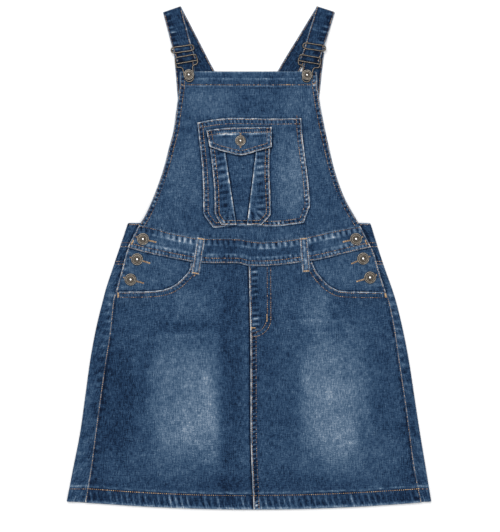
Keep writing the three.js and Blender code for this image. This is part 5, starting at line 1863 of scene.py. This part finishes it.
def laid_piece(node, plan, bottom, thickness, seams, base, region, extra=(), covered=True):
    """Flat piece in the place of its node, with its stitching. extra are seams whose rows come later."""
    piece, face = lay(f"cloth_{node}", *plan, bottom, thickness, [*seams, *extra], base, covered)
    cloth_piece(piece, node)
    sew_seams(region, face, seams)
    return face


# Wear of the back pieces, with the painted shade in their stitch grooves and the painted shadow beside their
# closure
back_weave = 7.0
back_groove_shade = 0.14
back_ripple = 7.4
back_row = 1.2 - hem_row
side_ripple = 14.5
closure_foot = -62
closure_slope = 8
streak_pitch = 8.3
streak_height = hem_depth - 1
hem_ridge = hem_row + 4


def wrapped(name, grids, rows, edges, base, streaks=False):
    """Back piece with its seams. rows are the stitching and edges the worn edges: distances down from the
    upper edge where they are positive, and up from the lower edge where they are negative."""
    outer, inner = (grid.copy() for grid in grids)
    rows_run = np.cumsum(np.linalg.norm(np.diff(outer, axis=1), axis=2), axis=1)
    run = np.concatenate([np.zeros((outer.shape[0], 1)), rows_run], 1)
    weave = np.stack([run, outer[..., 1], np.full(run.shape, back_weave)], -1)
    normal = outer - inner
    normal /= np.linalg.norm(normal, axis=2, keepdims=True)
    down = np.cumsum(np.linalg.norm(np.diff(outer, axis=0, prepend=outer[:1]), axis=2), axis=0)
    x, y = outer[..., 0], outer[..., 1]
    from_seam = np.abs(x) - np.abs(seam_at(x, y))
    # crest is the creases' painted highlight and painted shade
    crease, crest = creased(x, y)
    relief, tone = crease, base + dye_fade_and_highlight(x, y) + crest
    for i, row in enumerate(rows):
        away = down - row if row > 0 else down[-1:] - down + row
        # Painted shade darkens the stitch groove
        near = bell(away, stitch_width)
        relief = relief - stitch_groove * near
        tone = tone - back_groove_shade * near
        ripple = np.cos(2 * math.pi * (run / back_ripple + 0.3 * wobble(run / 17, i + 3)))
        tone = tone + bell(away - 2.6, 2.2) * (0.3 * np.clip(ripple, 0, 1) - 0.1)
    for edge in edges:
        away = down - edge if edge >= 0 else down[-1:] - down + edge
        tone = tone + 0.4 * bell(away, 1.3) * (0.8 + 0.3 * wobble(run / 5, 7))
    uneven = wobble(down / 13 + 0.4 * wobble(run / 23, 5), 11)
    tone = tone + 0.07 * uneven * ease(from_seam / 3) * ease(1 - from_seam / 60)
    # Above the closure's foot the hip piece's edge lies over the back piece: a painted shadow beside the
    # side seam
    closure = ease((y - closure_foot) / closure_slope)
    tone = tone - 0.3 * closure * bell(np.maximum(from_seam, 0), 3.5)
    ripple = np.clip(np.cos(2 * math.pi * (y / side_ripple + 0.3 * wobble(y / 31, 8))), 0, 1)
    tone = tone + (1 - closure) * bell(from_seam - 5, 5) * (0.36 * ripple * ease((y + 250) / 80) - 0.07)
    if streaks:
        above_hem = down[-1:] - down
        hem = ease((streak_height - above_hem) / 3)
        streak = np.clip(np.cos(2 * math.pi * (run / streak_pitch + 0.3 * wobble(run / 21, 4))), 0, 1) ** 4
        tone = tone + hem * (0.26 * streak - 0.04) + 0.4 * bell(above_hem - hem_ridge, wear_and_ridge_width + 0.1)
    upward = ease(1.6 * normal[..., 2] - 0.4) * ease((from_seam - 1) / 5) * still(x, y)
    outer[..., 2] += np.clip(relief, -0.5, 0.6) * upward
    for i, row in enumerate(rows):
        level = row if row > 0 else float(down[-1].mean()) + row
        sew_grid("back", outer.transpose(1, 0, 2), normal.transpose(1, 0, 2), level, down.mean(1), 1, 1, i)
    return shell(name, outer, inner, tone, weave)


for side, word in both_sides:
    skirt = back_skirt(side)
    piece = wrapped(f"cloth_back_skirt_{word}", skirt, (back_row,), (-0.1,), 0.33, streaks=True)
    cloth_piece(piece, f"back_skirt_{word}")
    yoke = back_strip(side, yoke_seam, back_band_low, cloth, fold_height, gap)
    piece = wrapped(f"cloth_back_yoke_{word}", yoke, (-1.4, -7.6), (-0.1,), 0.32)
    cloth_piece(piece, f"back_yoke_{word}")

left_grids = back_strip(-1, back_band_low, back_band_top, band, band_fold_height, 0)
right_grids = back_strip(1, back_band_low, back_band_top, band, band_fold_height, 0)
whole = tuple(np.concatenate([a[:, ::-1], b], 1) for a, b in zip(left_grids, right_grids))
piece = wrapped("cloth_back_waistband", whole, (2.2, -1.4, -7.6), (0.0, -0.1), 0.3)
cloth_piece(piece, "back_waistband")

for side, word in both_sides:
    face = laid_piece(f"hip_{word}", hip(side), hip_bottom, constant(cloth), seams_of[f"hip_{word}"], 0.36,
                      "skirt")
    sew_gold(face, f"hip_{word}")
    face = laid_piece(f"front_skirt_{word}", front_skirt(side), front_bottom, front_thickness,
                      seams_of[f"front_{word}"], 0.3,
                      "skirt", extra=seams_of["hem"])
    half = hem_line[hem_line[:, 0] * side > 0]
    sew_seams("hem", face, [seam(half, (hem_row,))], 0.62)
    sew_gold(face, f"front_{word}")

face = laid_piece("front_waistband", front_waistband(), waist_bottom, constant(band), seams_of["band"], 0.24,
                  "band")
sew_gold(face, "band")

face = laid_piece("bib", bib(), bib_bottom, bib_thickness, seams_of["bib"], 0.33,
                  "bib")
loose_end, normals = raised_path(face, loose_thread, loose_lift)
thread("gold", loose_end.mean(0), loose_end[1] - loose_end[0], normals[0], loose_length, loose_radius)
sew_gold(face, "bib")

laid_piece("bib_pocket", patch_pocket(), patch_bottom, patch_thickness, seams_of["bib_pocket"], 0.34,
           "pocket")


def cargo_face(x, y):
    """Height of the small pocket's upper face near its edges: high on the strips, low on the panel."""
    from_edge = np.minimum(x - cargo_left_edge(y), cargo_right_edge(y) - x)
    folded = (x < fold_left(y)) | (x > fold_right(y))
    rise = np.where(folded, ease((from_edge - strip_rise) / 6), 0) * 2 * pleat_step
    return patch_face(x, y) + gap + pleat_cloth + rise - 0.05


def pleated_pocket(middle):
    """Small pocket with its stitching: puckered strips and the lower panel between them."""
    x, y = middle[..., 0], middle[..., 1]
    steps = np.linalg.norm(np.diff(middle, axis=1, prepend=middle[:, :1]), axis=2)
    weave = np.stack([np.cumsum(steps, axis=1), y, np.full(x.shape, 3.0)], -1)
    relief, tone = sewn(seams_of["cargo"], x, y)
    on_strip = (x <= fold_left(y) + 0.2) | (x >= fold_right(y) - 0.2)
    strip_relief, strip_tone = sewn(seams_of["strips"], x, y)
    # The strips take their wear and puckers, the panel the painted shadows beside the fold edges
    tone = tone + np.where(on_strip, 0.06 + strip_tone, sewn(seams_of["panel"], x, y)[1])
    relief = relief + np.where(on_strip, strip_relief, 0)
    tone = 0.3 + tone + dye_fade_and_highlight(x, y)
    piece, _ = along_cloth("cloth_pleated_pocket", middle, pleat_cloth, tone, weave, relief)
    cloth_piece(piece, "pleated_pocket")
    sew_seams("pocket", cargo_face, seams_of["cargo"][:1])


pleated_pocket(cargo_middle)

face = laid_piece("pocket_flap", flap(), flap_bottom, constant(flap_cloth), seams_of["flap"], 0.36,
                  "pocket")
sew_gold(face, "flap")

for place, line in zip(loops, loop_lines):
    face = laid_piece(place["name"], belt_loop(line), loop_bottom, constant(loop_cloth), loop_seams(line),
                      0.42, "band", covered=False)
    ahead, across, _ = frame_of(line)
    aside = across * (loop_width / 2 - 1)
    for end in (line[0] + loop_tack * ahead, line[1] - loop_tack * ahead):
        bar_tack("gold", face, end - aside, end + aside, loop_tack_width)


# Stitching and puckers of a strap, by their distance from its long edge
strap_row = 1.5
strap_thread = 0.6
strap_ripple = 10.4
strap_middle = 6.5
strap_spread = 4.8


def strap_piece(name, stations, side):
    """Doubled strap with a row of stitching near both long edges, on both faces."""
    middle, weave = ribbon(stations, strap_width)
    aside, run = weave[..., 0], weave[..., 1]
    half = strap_width / 2
    from_edge = half - np.abs(aside)
    turn = run[np.argmax(middle[:, 0, 1]), 0]
    front = ease((run - turn) / 4) if len(stations) > len(strap_ends) else 0 * run
    wave = np.cos(2 * math.pi * (run / strap_ripple + 0.3 * wobble(run / 19, 3))) + 0.4 * wobble(run / 6, 5)
    tone = 0.17 + 0.05 * front + 0.03 * mottle(aside, run, 9, 3) + 0.04 * mottle(aside, run, 4, 6)
    near = bell(from_edge - strap_middle, strap_spread) * front * np.where(aside * side > 0, 1, 0.25)
    tone += near * (0.56 * np.clip(wave, 0, 1.3) - 0.24)
    tone += bell(from_edge - 0.2, 0.9) * (0.5 + 0.15 * wobble(run / 5, 6))
    tone -= 0.16 * bell(from_edge - 2.6, 0.9)
    piece, normal = along_cloth(name, middle, strap_cloth, tone, weave, 0.16 * wave * near, True)
    for face in (1, -1):
        raised = middle + face * normal * strap_cloth / 2
        for edge in (-1, 1):
            row = edge * (half - strap_row)
            sew_grid("strap", raised, face * normal, row, aside[0], strap_row, strap_row, edge + face,
                     strap_thread)
    return piece


for side, word in both_sides:
    piece = strap_piece(f"cloth_strap_{word}", strap_stations(side), side)
    cloth_piece(piece, f"strap_{word}")
    piece = strap_piece(f"cloth_strap_end_{word}", strap_end_stations(side), side)
    cloth_piece(piece, f"strap_end_{word}")
    for metal, made in (("slider", slider(side)), ("buckle", buckle(side))):
        piece = mesh_object(f"wire_{metal}_{word}", *made[:3], attributes=dict(shine=made[3]))
        dress(piece, f"{metal}_{word}", wire_metal)

button_levels = {
    "bib": lambda x, y: bib_bottom(x, y) + turned,
    "flap": lambda x, y: flap_bottom(x, y) + flap_cloth,
    "band": lambda x, y: waist_bottom(x, y) + band,
    "hip": lambda x, y: hip_bottom(x, y) + cloth,
}
for place in buttons:
    level = float(button_levels[place["stands_on"]](place["x"], place["y"])) + gap
    points, quads, triangles, shine = button_mesh(place, level)
    piece = mesh_object("metal_" + place["name"], points, quads, triangles, dict(shine=shine))
    dress(piece, place["name"], button_metal)

finishes = dict(hem=gold_thread, gold=gold_thread, slit_shadow=slit_shadow_thread)
for region in sewing:
    sewing_object(f"stitches_{region}", region, finishes.get(region, brown_thread))

# Floor, light and camera
bpy.ops.mesh.primitive_plane_add(size=14, location=(0, 0, -0.0004))
floor = bpy.context.object
floor.name = "floor"
paper, tree, shader = material("floor_paper")
fleck = put_node(tree, "ShaderNodeTexNoise", Scale=90.0, Detail=4.0).outputs["Fac"]
white = table("tone red green blue", [(0.3, 246, 246, 247), (0.7, 250, 250, 250)])
tree.links.new(coloured(tree, fleck, white), shader.inputs["Base Color"])
shader.inputs["Roughness"].default_value = 0.95
floor.data.materials.append(paper)


def soft_light(name, place, size, power):
    data = bpy.data.lights.new(name, "AREA")
    data.shape = "DISK"
    data.size = size
    data.energy = power
    lamp = bpy.data.objects.new(name, data)
    bpy.context.scene.collection.objects.link(lamp)
    lamp.location = place
    aim = -lamp.location
    lamp.rotation_euler = aim.to_track_quat("-Z", "Y").to_euler()


soft_light("key", (-0.5, 1.1, 2.9), 1.8, 60)
soft_light("fill", (0.7, -0.8, 3.2), 2.4, 26)
world = bpy.data.worlds.new("studio")
world.use_nodes = True
world.node_tree.nodes["Background"].inputs["Color"].default_value = (1, 1, 1, 1)
world.node_tree.nodes["Background"].inputs["Strength"].default_value = 0.5
bpy.context.scene.world = world
bpy.context.scene.view_settings.view_transform = "Standard"

# The camera frames what the photo shows: its middle on the plan and its height in metres
photo_middle = (0.0020, -0.01336)
photo_height = 0.8512
above_floor = 0.006
lens = 100
sensor = 36
camera_data = bpy.data.cameras.new("camera")
camera_data.lens = lens
camera_data.sensor_width = sensor
camera = bpy.data.objects.new("camera", camera_data)
camera.location = (*photo_middle, photo_height * lens / sensor + above_floor)
bpy.context.scene.collection.objects.link(camera)
bpy.context.scene.camera = camera
